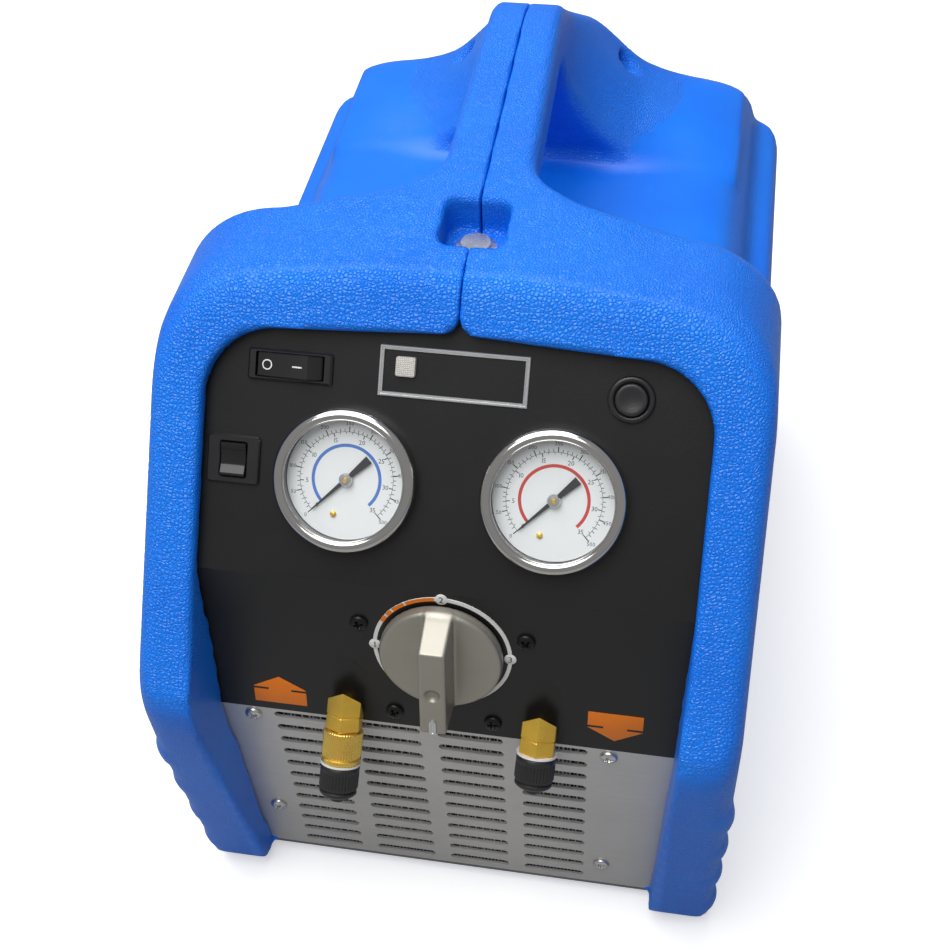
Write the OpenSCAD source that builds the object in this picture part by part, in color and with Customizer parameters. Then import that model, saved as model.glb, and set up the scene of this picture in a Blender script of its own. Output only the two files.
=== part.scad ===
// Portable refrigerant recovery machine: a two-part moulded casing with a carrying handle, a folded
// control panel with two gauges and a mode knob, capped hose ports, and an oil-less compressor,
// fan and condenser on one shaft inside.
// The front faces -Y, +X is to the right of someone facing the panel, and the ground is z = 0.

/* [Casing] */
// Overall width of the casing
casing_width = 250; // [244:1:270]
// Depth from the nose of the front rim to the rear face
casing_depth = 400; // [390:1:440]
// Height of the handle's crest above the ground
overall_height = 330; // [324:1:345]
// Height of the casing's lower edge above the ground
ground_gap = 4; // [3:0.5:8]
// Wall of the moulded halves
wall = 3.5; // [2.5:0.1:4.5]
// Height of the nose, where the front rim reaches furthest forward
nose_height = 165; // [158:1:172]
// Lean of the front rim and of the upper panel from upright, in degrees
face_lean = 37.9; // [35:0.1:40]
// Height of the top of the front rim
rim_top = 318; // [312:1:322]
// How far the flat top of the rim runs back from its front edge
rim_depth = 40; // [36:1:48]
// How far the front legs' feet stand behind the nose
foot_setback = 27; // [20:1:34]
// Radius of the rim's two upper corners, seen from the front
rim_corner = 45; // [36:1:52]
// Height of the ledge along each side
ledge_height = 213; // [206:1:220]
// Half width of the raised deck behind the rim
deck_half_width = 109; // [104:1:112]
// Height of the deck
deck_height = 245; // [238:1:252]
// Rounding of the deck's shoulders
deck_shoulder = 30; // [20:1:34]
// How far the deck's rear end stands in front of the rear face
deck_setback = 8; // [4:1:16]
// Distance of the ventilated rear opening from the casing's sides
rear_opening_margin = 33; // [33:1:41]
// Height of the rear opening's lower edge above the casing's lower edge
rear_opening_sill = 21; // [21:1:26]
// Height of the rear opening
rear_opening_height = 165; // [150:1:165]

/* [Handle] */
// Half width of the handle beside the front rim
handle_half_width = 18; // [15:0.5:20]
// Half width of the handle at its rear end
handle_rear_half_width = 14.5; // [12:0.5:17]
// Depth of the handle's bar from top to underside
handle_bar = 25; // [20:1:28]
// Fillet between the handle and the rim, seen from above
handle_fillet = 26; // [16:1:30]
// Flare of the rear pillar down to the deck
pillar_flare = 58; // [40:1:60]
// Distance of the pillar's front face behind the middle of the machine
pillar_front = 100; // [92:1:108]
// Length of the pillar where it meets the deck
pillar_length = 70; // [64:1:74]
// Half size of the square bolt pocket at the front of the handle
pocket_half = 13; // [11:0.5:14]
// Depth of the bolt pocket
pocket_depth = 16; // [12:1:18]

/* [Front panels] */
// Depth of the upper panel behind the rim's face
panel_recess = 8.4; // [6:0.2:12]
// Height of the fold between the upper and the lower panel
fold_height = 209.5; // [204:0.5:214]
// Thickness of the black panel
panel_thickness = 2; // [1.5:0.1:2.5]
// Length of the upper panel above the fold
upper_panel_length = 110; // [107:1:112]
// Length of the lower panel below the fold
lower_panel_length = 76.7; // [75:0.1:80]
// How far the top of the grille stands behind the front of the legs
grille_recess = 27.15; // [25:0.05:29]
// Lean of the silver grille from upright, in degrees
grille_lean = 3; // [1:0.1:4]
// Thickness of the silver grille
grille_thickness = 1.5; // [1:0.1:2]
// Depth of the flanges where panel and grille meet
flange_depth = 12; // [9:1:14]
// Half width of the front opening at its top
opening_half_width = 100; // [98:0.5:104]
// Half width of the front opening at the ground
opening_foot_half_width = 93.5; // [91:0.5:98]
// Height of the opening's shoulders above the fold, along the panel
opening_shoulder = 98; // [96:0.5:99]
// Rise of the opening's top edge from the shoulders to the middle
opening_crown = 5; // [3:0.5:6]
// Radius of the opening's upper corners
opening_corner = 27; // [20:1:32]
// How far both panels reach behind the casing at each side
panel_margin = 8; // [5:0.5:10]

/* [Grille slots] */
// Number of slot columns
slot_columns = 4; // [3:1:4]
// Number of slot rows
slot_rows = 12; // [10:1:12]
// Length of one slot
slot_length = 28.5; // [22:0.5:30]
// Width of one slot
slot_width = 4.6; // [3:0.1:5.5]
// Distance between slot columns
slot_column_pitch = 36.2; // [33:0.1:37]
// Distance between slot rows
slot_row_pitch = 10.3; // [9:0.1:10.4]
// Drop of the first slot row below the black panel
slot_first_row = 4.4; // [4.4:0.1:6]
// Sideways place of the slot pattern and of the condenser behind it
grille_shift = -7; // [-8:0.5:0]

/* [Gauges] */
// Half distance between the two gauges
gauge_spread = 41.4; // [38:0.1:44]
// Height of the gauges above the fold, along the panel
gauge_rise = 42; // [38:0.5:46]
// Radius of the chrome bezel
bezel_radius = 28.75; // [27.5:0.05:30]
// Height of the bezel in front of the panel
bezel_height = 7.3; // [6:0.1:9]
// Radius of the visible dial
dial_view_radius = 23.9; // [22:0.1:24.5]
// Radius of the gauge's can
gauge_can_radius = 26; // [25.5:0.1:27]
// Depth of the can behind the panel
gauge_can_depth = 24; // [20:1:28]
// Length of the needle's tip from its pivot
needle_reach = 18.5; // [14:0.5:20]
// Length of the needle's counterweight from its pivot
needle_tail = 10.5; // [6:0.5:14]
// Sweep of the scale in degrees
gauge_sweep = 270; // [240:5:300]

/* [Switches] */
// Sideways place of the rocker switch
switch_x = -66.5; // [-70:0.5:-62]
// Height of the rocker switch above the fold, along the panel
switch_rise = 84.8; // [82:0.2:87]
// Width of the switch frame
switch_width = 34; // [32:0.5:36]
// Height of the switch frame
switch_height = 12.6; // [12:0.1:14]
// Angle between the rocker's off place and the middle, in degrees
rocker_tilt = 10; // [6:1:10]
// Sideways place of the start button
start_x = 67.6; // [64:0.2:70]
// Height of the start button above the fold, along the panel
start_rise = 83.8; // [80:0.2:84]
// Radius of the start button's bezel
start_bezel_radius = 9.2; // [8.5:0.1:10]
// Travel of the start button
start_travel = 3; // [2:0.5:4]
// Sideways place of the circuit breaker
breaker_x = -87.6; // [-88:0.1:-84]
// Height of the circuit breaker above the fold, along the panel
breaker_rise = 45.8; // [42:0.2:50]
// Width of the circuit breaker's plate
breaker_width = 21.4; // [19:0.2:22]
// Height of the circuit breaker's plate
breaker_height = 19.4; // [18:0.2:22]
// How far the breaker's button pops out when it trips
breaker_travel = 3; // [2:0.5:4]
// Width of the framed indicator field
indicator_width = 59; // [50:0.5:62]
// Height of the framed indicator field
indicator_height = 20; // [16:0.5:21]
// Height of the indicator field's middle above the fold, along the panel
indicator_rise = 86.6; // [84:0.2:88]
// Size of the square indicator lens
lens_size = 7.8; // [6:0.2:9]

/* [Mode knob] */
// Drop of the knob's axis below the fold, along the lower panel
knob_drop = 30.8; // [30.4:0.1:32]
// Radius of the knob's disc
knob_radius = 25.5; // [24:0.1:26.2]
// Height of the knob's disc in front of the panel
knob_disc_height = 10; // [8:0.5:12]
// Height of the grip bar above the disc
knob_grip_height = 18; // [14:0.5:20]
// Width of the grip bar
knob_grip_width = 11; // [8:0.5:13]
// Outer radius of the printed index ring
index_ring_radius = 29.2; // [28.4:0.1:29.6]
// Radius of the valve stem
stem_radius = 6; // [5:0.1:7]
// Turn of the knob through its positions, in degrees
knob_turn = 270; // [240:5:300]

/* [Hose ports] */
// Half distance between the two ports
port_spread = 41.5; // [40:0.1:44]
// Drop of the ports below the fold, along the lower panel
port_drop = 60.5; // [59:0.1:62]
// Slope of the ports below level, in degrees
port_slope = 54; // [50:1:54]
// Turn of both ports to the left of straight ahead, in degrees
port_turn = 2; // [0:0.5:4]
// Width across the flats of the brass bodies
port_hex = 14.4; // [13:0.1:16]
// Length of the brass bodies
port_body_length = 16.6; // [16.6:0.1:18]
// Radius of the flare thread
flare_radius = 5.55; // [5.4:0.05:5.8]
// Length of the flare thread
flare_length = 11; // [9:0.5:12]
// Thickness of the nylon seal behind each cap
seal_thickness = 0.8; // [0.6:0.1:1.2]
// Radius of the knurled inlet coupling
coupling_radius = 8.5; // [8:0.1:9.5]
// Length of the knurled inlet coupling
coupling_length = 14.6; // [14:0.1:15.4]
// Radius of the caps
cap_radius = 8.4; // [8:0.1:9]
// Length of the caps
cap_length = 14; // [13.5:0.1:14.6]

/* [Inside] */
// Thickness of the base plate
base_thickness = 2; // [1.5:0.1:3]
// Height of the drive shaft above the base plate
shaft_height = 58; // [57:0.5:62]
// Radius of the drive shaft
shaft_radius = 6; // [5:0.1:7]
// Half width of the condenser's fin block
condenser_half_width = 74; // [66:1:76]
// Depth of the condenser
condenser_depth = 22; // [16:1:26]
// Height of the condenser
condenser_height = 112; // [106:1:114]
// Radius of the fan
fan_radius = 50; // [44:0.5:51]
// Width of the fan along the shaft
fan_width = 20; // [14:1:22]
// Outer radius of the motor
motor_radius = 50; // [46:0.5:52]
// Length of the motor
motor_length = 130; // [110:1:140]
// Length of the crankcase
crankcase_length = 64; // [58:1:70]
// Radius of the crankcase
crankcase_radius = 30; // [29:0.5:32]
// Throw of the crank
crank_throw = 6; // [4:0.5:7]
// Length of one cylinder barrel
barrel_length = 38; // [32:1:42]
// Radius of the cylinder bore
piston_bore = 15; // [13:0.5:16]
// Depth of the brass valve block behind the panel
block_depth = 34; // [30:1:38]
// Half width of the valve block
block_half_width = 52; // [50:0.5:54]
// Outer radius of the copper pipes
pipe_radius = 3.2; // [2.5:0.1:4]
// Outer radius of the gauges' capillary pipes
capillary_radius = 1.6; // [1.2:0.1:2]

/* [Rear] */
// Thickness of the rear panel
rear_panel_thickness = 1.5; // [1:0.1:2]
// Sideways place of the mains inlet
inlet_socket_x = -58; // [-64:1:-50]
// Height of the mains inlet above the ground
inlet_socket_height = 50; // [44:1:60]

/* [Fits] */
// Gap around parts that drop into a cut-out
panel_gap = 0.3; // [0.2:0.05:0.4]
// Radial clearance of a pin or shaft that turns in a bore
running_gap = 0.05; // [0.03:0.01:0.08]
// Radial clearance of a fixed shank or ring in its hole
seat_gap = 0.1; // [0.05:0.01:0.2]
// Radial clearance of the fan and the rotor on the drive shaft
press_gap = 0.02; // [0.01:0.01:0.05]

/* [Hidden] */
$fn = 64;

casing_blue = "royalblue";
half_width = casing_width / 2;
rear_opening_half_width = half_width - rear_opening_margin;
rear_y = casing_depth / 2;
nose_radius = 26;
chin_lean = atan(foot_setback / (nose_height - ground_gap));
nose_spread = (face_lean + chin_lean) / 2;
nose_trim = nose_radius * (cos((face_lean - chin_lean) / 2) / cos(nose_spread) - 1);
// The corner before the nose is rounded, so that the rounded nose ends half the depth ahead
nose_y = -casing_depth / 2 - nose_trim;
foot_y = nose_y + foot_setback;
rim_front_y = nose_y + (rim_top - nose_height) * tan(face_lean);
rim_back_y = rim_front_y + rim_depth;
past = 1;
casing_top = max(overall_height, rim_top) + past;
floor_top = ground_gap + wall;
base_top = floor_top + base_thickness;
side_floor_edge = 8;
rear_floor_edge = 12;

// The fold and the lower panel's end, as [y, z]
fold_y = nose_y + panel_recess / cos(face_lean) + (fold_height - nose_height) * tan(face_lean);
// The lower panel leans so that its end lies the grille's recess behind the legs' sloping front
lower_reach = fold_y - nose_y - grille_recess + (fold_height - nose_height) * tan(chin_lean);
lower_lean = asin(lower_reach * cos(chin_lean) / lower_panel_length) - chin_lean;
lower_end_y = fold_y - lower_panel_length * sin(lower_lean);
lower_end_z = fold_height - lower_panel_length * cos(lower_lean);
grille_length = (lower_end_z - base_top) / cos(grille_lean);
grille_foot_y = lower_end_y + grille_length * sin(grille_lean);
panel_half_width = opening_half_width + panel_margin;

// Gauge seats, measured from the panel's face
lens_seat = bezel_height - 2.9;
lens_thickness = 1.6;
dial_seat = -1.2;
dial_thickness = 0.8;
can_bore = gauge_can_radius - 1.4;
pivot_radius = 1;
gauge_stem = 10;
needle_zero = (360 - gauge_sweep) / 2;

// Rocker, button and breaker sizes behind the panel
rocker_half_length = switch_width / 2 - 3.3;
rocker_half_height = switch_height / 2 - 1.5;
rocker_pivot = -2;
rocker_pin = 1.2;
switch_body_depth = 16;
start_button_radius = start_bezel_radius - 2.9;
start_tube_radius = start_bezel_radius - 1.3;
start_tube_depth = 12;
breaker_button_width = breaker_width - 11;
breaker_button_height = breaker_height - 5.8;
breaker_body_depth = 17 + breaker_travel;
breaker_plate = 1.6;
indicator_x = -1.6;
lens_x = indicator_x - indicator_width / 2 + 10.6;
lens_rise = indicator_rise + 2;
lens_stem = 2.5;

// Screws
screw_radius = 2;
screw_head_radius = 3.8;
screw_head_height = 2.4;
screw_length = 10;
panel_screw_spots = [[-34.4, 20.3], [34.4, 20.3], [-21.1, 68.7], [21.1, 68.7]];
grille_screw_spots = [[-78, 5.2], [77.6, 5.2], [-78.4, 87], [76.8, 104.3]];

// Drive line along Y, from the condenser back to the crankcase
shaft_z = base_top + shaft_height;
condenser_y = grille_foot_y + grille_thickness + 1.5;
condenser_back = condenser_y + condenser_depth;
shroud_thickness = 1.5;
fan_front = condenser_back + 6;
fan_back = fan_front + fan_width;
fan_tip_gap = 2.5;
collar_depth = 18;
motor_front = fan_back + 12;
motor_back = motor_front + motor_length;
motor_wall = 4;
shield = 8;
bearing_radius = 16;
air_gap = 1;
rotor_radius = motor_radius - motor_wall - 12;
crankcase_back = motor_back + crankcase_length;
crankcase_wall = 6;
barrel_y = motor_back + crankcase_length / 2;
barrel_radius = piston_bore + 5;
barrel_root = crankcase_radius + 4;
barrel_end = barrel_root + barrel_length;
head_thickness = 14;
head_half = barrel_radius + 6;
head_top = shaft_z + head_half;

// Valve block, in the lower panel's own frame
block_front = -panel_thickness;
block_back = block_front - block_depth;
block_top = -14;
block_bottom = -72;
stem_depth = 20;

// Ports, measured along the slope from the lower panel's face
port_end = port_body_length;
coupling_start = port_end + panel_gap;
coupling_end = coupling_start + coupling_length;
cap_tip_radius = 3;
cap_tip_length = 2.8;

// Plain helpers for outlines
function unit(v) = v / norm(v);
function leftward(v) = [-v.y, v.x];
function wrap(points, i) = points[(i + len(points)) % len(points)];

// Moves every edge of a counter-clockwise outline inwards by the same distance
function inset_outline(points, distance) = [
  for (i = [0 : len(points) - 1])
    let (before = leftward(unit(points[i] - wrap(points, i - 1))))
    let (after = leftward(unit(wrap(points, i + 1) - points[i])))
    points[i] + distance * (before + after) / (1 + before * after)
];

// The arc that rounds one corner of an outline
function corner_arc(from, corner, to, radius, steps) =
  let (back = unit(from - corner))
  let (ahead = unit(to - corner))
  let (half = acos(back * ahead) / 2)
  let (centre = corner + unit(back + ahead) * radius / sin(half))
  let (start = corner + back * radius / tan(half) - centre)
  let (turn = sign(cross(corner - from, to - corner)) * (180 - 2 * half))
  let (first = atan2(start.y, start.x))
  [for (k = [0 : steps]) centre + radius * [cos(first + turn * k / steps), sin(first + turn * k / steps)]];

// An outline with each corner rounded by its own radius, and left sharp where that is 0
function round_outline(points, radii, steps = 6) = [
  for (i = [0 : len(points) - 1])
    each radii[i] == 0 ? [points[i]]
      : corner_arc(wrap(points, i - 1), points[i], wrap(points, i + 1), radii[i], steps)
];

// A point of the lower panel's frame in the machine's frame: sideways, down the panel, out of it
function lower_at(x, drop, out) = [
  x,
  fold_y - drop * sin(lower_lean) - out * cos(lower_lean),
  fold_height - drop * cos(lower_lean) + out * sin(lower_lean)
];

// The same for the upper panel: sideways, up the panel, out of it
function upper_at(x, rise, out) = [
  x,
  fold_y + rise * sin(face_lean) - out * cos(face_lean),
  fold_height + rise * cos(face_lean) + out * sin(face_lean)
];

// Frames on the panels: X sideways, Y up the panel, Z out of it
module on_upper(x, rise) {
  translate([0, fold_y, fold_height]) rotate([90 - face_lean, 0, 0]) translate([x, rise, 0]) children();
}
module on_lower(x, drop) {
  translate([0, fold_y, fold_height]) rotate([90 - lower_lean, 0, 0]) translate([x, -drop, 0]) children();
}
module on_grille(x, drop) {
  translate([0, lower_end_y, lower_end_z])
    rotate([90 + grille_lean, 0, 0]) translate([x, -drop, 0]) children();
}

// Frame of a port: Z runs down and forward along its axis
module on_port(side) {
  spot = lower_at(side * port_spread, port_drop, 0);
  translate(spot) rotate([90 + port_slope, 0, 0]) rotate([0, -port_turn, 0]) children();
}

// Extrusions of a side outline across the machine and of a front outline along it
module along_x(from, to) {
  translate([from, 0, 0]) rotate([90, 0, 90]) linear_extrude(to - from) children();
}
module along_y(from, to) {
  translate([0, to, 0]) rotate([90, 0, 0]) linear_extrude(to - from) children();
}

// A cylinder on the drive line, between two places along Y
module on_shaft(from, to, radius) {
  translate([0, from, shaft_z]) rotate([-90, 0, 0]) cylinder(r = radius, h = to - from);
}
module disc_ring(outer, inner, height) {
  difference() {
    cylinder(r = outer, h = height);
    translate([0, 0, -past]) cylinder(r = inner, h = height + 2 * past);
  }
}
module centred_box(size, from, to) {
  translate([-size.x / 2, -size.y / 2, from]) cube([size.x, size.y, to - from]);
}

// A pipe of straight twelve-sided runs that meet in mitred corners. Each side's offset from the middle
// line is cut by the plane that halves the corner, and goes on square to the next run.
pipe_sides = 12;
function run_way(points, i) = unit(points[i + 1] - points[i]);
function corner_plane(points, i) = unit(run_way(points, i - 1) + run_way(points, i));
function corner_cut(offset, way, plane) = offset - way * (offset * plane) / (way * plane);
function run_offsets(points, i, radius) =
  i == 0
    ? let (way = run_way(points, 0))
      let (across = unit(cross(way, abs(way.x) < 0.9 ? [1, 0, 0] : [0, 1, 0])))
      [for (k = [0 : pipe_sides - 1])
        radius * (cos(k * 360 / pipe_sides) * across + sin(k * 360 / pipe_sides) * cross(way, across))]
    : [for (offset = run_offsets(points, i - 1, radius))
        let (cut = corner_cut(offset, run_way(points, i - 1), corner_plane(points, i)))
        cut - run_way(points, i) * (cut * run_way(points, i))];
module pipe_run(points, radius) {
  last = len(points) - 1;
  rings = [
    for (i = [0 : last], offset = run_offsets(points, max(i - 1, 0), radius))
      i == 0 || i == last ? points[i] + offset
        : points[i] + corner_cut(offset, run_way(points, i - 1), corner_plane(points, i))
  ];
  sides = [
    for (i = [0 : last - 1], k = [0 : pipe_sides - 1])
      let (next = (k + 1) % pipe_sides)
      [i * pipe_sides + k, (i + 1) * pipe_sides + k, (i + 1) * pipe_sides + next, i * pipe_sides + next]
  ];
  start_cap = [for (k = [0 : pipe_sides - 1]) k];
  end_cap = [for (k = [pipe_sides - 1 : -1 : 0]) last * pipe_sides + k];
  polyhedron(rings, concat([start_cap], sides, [end_cap]));
}
module pan_screw(head_radius, head_height, shank_radius, shank_length) {
  cylinder(r = head_radius, h = head_height);
  translate([0, 0, -shank_length]) cylinder(r = shank_radius, h = shank_length);
}

// The casing's main forms, each drawn inwards by an inset
body_side = [
  [foot_y, ground_gap], [rear_y, ground_gap], [rear_y, ledge_height], [rim_back_y, ledge_height],
  [rim_back_y, rim_top], [rim_front_y, rim_top], [nose_y, nose_height]
];
body_side_radii = [10, rear_floor_edge, 14, 8, 10, 22, nose_radius];
body_front = [
  [-half_width, ground_gap], [half_width, ground_gap], [half_width, rim_top], [-half_width, rim_top]
];
body_front_radii = [side_floor_edge, side_floor_edge, rim_corner, rim_corner];
body_plan = [[-half_width, nose_y], [half_width, nose_y], [half_width, rear_y], [-half_width, rear_y]];
body_plan_radii = [18, 18, 24, 24];
deck_low = ledge_height - 30;
deck_start = rim_front_y + 12;
deck_end = rear_y - deck_setback;
deck_side = [
  [deck_start, deck_low], [deck_end, deck_low], [deck_end, deck_height], [deck_start, deck_height]
];
deck_front = [
  [-deck_half_width, deck_low], [deck_half_width, deck_low],
  [deck_half_width, deck_height], [-deck_half_width, deck_height]
];

module body_form(inset) {
  intersection() {
    along_x(-half_width + inset, half_width - inset)
      polygon(round_outline(inset_outline(body_side, inset), body_side_radii));
    along_y(nose_y - past, rear_y + past)
      polygon(round_outline(inset_outline(body_front, inset), body_front_radii, 10));
    linear_extrude(casing_top)
      polygon(round_outline(inset_outline(body_plan, inset), body_plan_radii));
  }
}
module deck_form(inset) {
  intersection() {
    along_x(-deck_half_width + inset, deck_half_width - inset)
      polygon(round_outline(inset_outline(deck_side, inset), [0, 0, 22, 0]));
    along_y(deck_start, rear_y)
      polygon(round_outline(inset_outline(deck_front, inset), [0, 0, deck_shoulder, deck_shoulder]));
  }
}

// The opening that shows the panels, widened by a margin: all that lies in front of the panels, inside
// the rounded upper outline and between the two sides, which close in towards the ground. A cut runs
// a little past the panels' faces, into the hollow behind them
opening_reach = 60;
opening_top = rim_top + past;
module front_opening(margin, behind = 0) {
  shoulder = opening_shoulder + margin;
  half = opening_half_width + margin;
  foot_half = opening_foot_half_width + margin;
  top_half = foot_half + (half - foot_half) * opening_top / fold_height;
  upper_outline = [
    [-half, -fold_height], [half, -fold_height], [half, shoulder],
    [0, shoulder + opening_crown], [-half, shoulder]
  ];
  grille_low_y = grille_foot_y + base_top * tan(grille_lean);
  panel_top_y = fold_y + (opening_top - fold_height) * tan(face_lean);
  intersection() {
    on_upper(0, 0) translate([0, 0, -fold_height])
      linear_extrude(fold_height + opening_reach)
        polygon(round_outline(upper_outline, [0, 0, opening_corner, 0, opening_corner]));
    along_x(-half_width, half_width)
      polygon([
        [fold_y + behind, fold_height], [lower_end_y + behind, lower_end_z], [grille_low_y, 0],
        [nose_y - past, 0], [nose_y - past, opening_top], [panel_top_y + behind, opening_top]
      ]);
    along_y(nose_y - past, rear_y)
      polygon([
        [-foot_half, 0], [foot_half, 0], [top_half, opening_top], [-top_half, opening_top]
      ]);
  }
}

// The carrying handle with its rear pillar
handle_front_y = rim_front_y + 14.5;
pillar_rear = pillar_front + pillar_length;
handle_under = rim_top - handle_bar + 3;
// The bar is a little deeper at its crest
crest_under = overall_height - handle_bar - 1;
handle_side = [
  [handle_front_y, handle_under], [rim_back_y, handle_under], [pillar_front - 8, crest_under],
  [pillar_front, deck_height - wall], [pillar_rear, deck_height - wall],
  [pillar_rear, deck_height], [pillar_rear - 8, overall_height - 48],
  [pillar_front + 4, overall_height], [pillar_front - 32, overall_height],
  [rim_back_y, rim_top], [handle_front_y, rim_top]
];
handle_side_radii = [0, 0, 16, 0, 0, 0, 30, 26, 60, 60, 0];
flare_edge = handle_half_width + handle_fillet + 6;
handle_plan = [
  [-flare_edge, handle_front_y - past], [flare_edge, handle_front_y - past], [flare_edge, rim_back_y],
  [handle_half_width, rim_back_y], [handle_rear_half_width, pillar_rear],
  [-handle_rear_half_width, pillar_rear], [-handle_half_width, rim_back_y], [-flare_edge, rim_back_y]
];
pillar_edge = handle_rear_half_width + pillar_flare + 4;
pillar_front_view = [
  [-pillar_edge, deck_height - wall], [pillar_edge, deck_height - wall], [pillar_edge, deck_height],
  [handle_rear_half_width, deck_height], [handle_rear_half_width, overall_height],
  [-handle_rear_half_width, overall_height], [-handle_rear_half_width, deck_height],
  [-pillar_edge, deck_height]
];
module handle_form() {
  intersection() {
    along_x(-half_width, half_width) polygon(round_outline(handle_side, handle_side_radii));
    linear_extrude(casing_top)
      polygon(round_outline(handle_plan, [0, 0, 0, handle_fillet, 0, 0, handle_fillet, 0]));
  }
  intersection() {
    along_x(-half_width, half_width) polygon(round_outline(handle_side, handle_side_radii));
    along_y(pillar_front - 10, pillar_rear + past)
      polygon(round_outline(pillar_front_view, [0, 0, 0, pillar_flare, 0, 0, pillar_flare, 0], 10));
  }
}

// The bolt pocket and its boss in the rim, and the pillar's cross bolt
pocket_y = rim_back_y - pocket_half;
pocket_floor = rim_top - pocket_depth;
bolt_radius = 3;
bolt_length = 18;
washer_radius = 8.5;
washer_thickness = 1.6;
boss_radius = 12;
pillar_bolt_y = pillar_front + 54;
pillar_bolt_z = deck_height + 20;
pillar_bolt_radius = 2.5;
pillar_bolt_seat = 8;
access_radius = 5.5;
module bolt_pocket() {
  square_outline = [
    [-pocket_half, pocket_y - pocket_half], [pocket_half, pocket_y - pocket_half],
    [pocket_half, pocket_y + pocket_half], [-pocket_half, pocket_y + pocket_half]
  ];
  translate([0, 0, pocket_floor])
    linear_extrude(pocket_depth + past) polygon(round_outline(square_outline, [5, 5, 5, 5]));
  translate([0, pocket_y, pocket_floor - bolt_length])
    cylinder(r = bolt_radius + seat_gap, h = bolt_length + past);
}
module pillar_bolt_holes() {
  translate([-half_width, pillar_bolt_y, pillar_bolt_z])
    rotate([0, 90, 0]) cylinder(r = pillar_bolt_radius + seat_gap, h = casing_width);
  for (side = [-1, 1])
    translate([side * pillar_bolt_seat, pillar_bolt_y, pillar_bolt_z])
      rotate([0, side * 90, 0]) cylinder(r = access_radius, h = half_width);
}

// Notch at the top middle of the opening, where the two halves part
module parting_notch() {
  notch = 5;
  on_upper(0, opening_shoulder + opening_crown)
    translate([0, 0, -past])
      linear_extrude(opening_reach) polygon([[-notch, -past], [notch, -past], [0, notch]]);
}

module rear_opening() {
  low = ground_gap + rear_opening_sill;
  outline = [
    [-rear_opening_half_width, low], [rear_opening_half_width, low],
    [rear_opening_half_width, low + rear_opening_height],
    [-rear_opening_half_width, low + rear_opening_height]
  ];
  along_y(rear_y - wall - past, rear_y + past) polygon(round_outline(outline, [12, 12, 12, 12]));
}
floor_flange = 18;
module floor_opening() {
  front = grille_foot_y + floor_flange;
  half = half_width - floor_flange;
  translate([-half, front, 0]) cube([2 * half, rear_y - floor_flange - front, floor_top + past]);
}

// Both halves of the casing in one piece, parted by the two modules that follow
module whole_casing() {
  difference() {
    union() {
      difference() {
        union() {
          body_form(0);
          deck_form(0);
        }
        difference() {
          union() {
            body_form(wall);
            deck_form(wall);
          }
          front_opening(wall);
        }
      }
      handle_form();
      translate([0, pocket_y, pocket_floor - bolt_length - wall])
        cylinder(r = boss_radius, h = bolt_length + wall + pocket_depth / 2);
    }
    front_opening(0, past);
    parting_notch();
    bolt_pocket();
    pillar_bolt_holes();
    rear_opening();
    floor_opening();
  }
}
module casing_half(side) {
  intersection() {
    whole_casing();
    translate([side > 0 ? 0 : -casing_width, nose_y - past, 0])
      cube([casing_width, casing_depth + 2 * past, casing_top]);
  }
}
module casing_left() { color(casing_blue) casing_half(-1); }
module casing_right() { color(casing_blue) casing_half(1); }

module handle_washer() {
  color("silver")
    translate([0, pocket_y, pocket_floor])
      disc_ring(washer_radius, bolt_radius + seat_gap, washer_thickness);
}
module handle_bolt() {
  color("silver")
    translate([0, pocket_y, pocket_floor + washer_thickness])
      pan_screw(bolt_radius * 2, bolt_radius, bolt_radius, bolt_length);
}
module pillar_bolt() {
  head = pillar_bolt_radius * 1.7;
  nut_thickness = 4;
  color("dimgray") {
    translate([pillar_bolt_seat, pillar_bolt_y, pillar_bolt_z])
      rotate([0, 90, 0])
        pan_screw(head, nut_thickness, pillar_bolt_radius, 2 * pillar_bolt_seat + nut_thickness);
    translate([-pillar_bolt_seat - nut_thickness, pillar_bolt_y, pillar_bolt_z])
      rotate([0, 90, 0]) difference() {
        cylinder(r = head, h = nut_thickness, $fn = 6);
        translate([0, 0, -past]) cylinder(r = pillar_bolt_radius + seat_gap, h = nut_thickness + 2 * past);
      }
  }
}

// Sheet-metal front: a folded black panel over a slotted silver grille
module control_panel() {
  flange_top = lower_end_z + panel_thickness;
  flange_back = lower_end_y + flange_depth;
  inner_corner = lower_end_y + panel_thickness * (tan(lower_lean) + 1 / cos(lower_lean));
  top_outline = [
    [-panel_half_width, 0], [panel_half_width, 0],
    [panel_half_width, upper_panel_length], [-panel_half_width, upper_panel_length]
  ];
  color("black") difference() {
    union() {
      on_upper(0, 0) translate([0, 0, -panel_thickness])
        linear_extrude(panel_thickness) polygon(round_outline(top_outline, [0, 0, 30, 30]));
      along_x(-panel_half_width, panel_half_width) polygon([
        [fold_y, fold_height], [lower_end_y, lower_end_z], [flange_back, lower_end_z],
        [flange_back, flange_top], [inner_corner, flange_top],
        [fold_y + panel_thickness * cos(lower_lean), fold_height - panel_thickness * sin(lower_lean)]
      ]);
    }
    for (side = [-1, 1])
      on_upper(side * gauge_spread, gauge_rise) panel_hole(gauge_can_radius + panel_gap);
    on_upper(switch_x, switch_rise) panel_window(switch_body_size() + [2, 2] * panel_gap);
    on_upper(start_x, start_rise) panel_hole(start_tube_radius + panel_gap);
    on_upper(breaker_x, breaker_rise) panel_window(breaker_body_size() + [2, 2] * panel_gap);
    on_upper(lens_x, lens_rise) panel_hole(lens_stem + panel_gap);
    on_lower(0, knob_drop) panel_hole(stem_radius + panel_gap);
    for (side = [-1, 1]) on_lower(side * port_spread, port_drop) panel_hole(port_stub() + panel_gap);
    for (spot = panel_screw_spots) on_lower(spot.x, spot.y) panel_hole(screw_radius + panel_gap);
  }
}
module panel_hole(radius) {
  translate([0, 0, -2 * panel_thickness]) cylinder(r = radius, h = 3 * panel_thickness);
}
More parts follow.
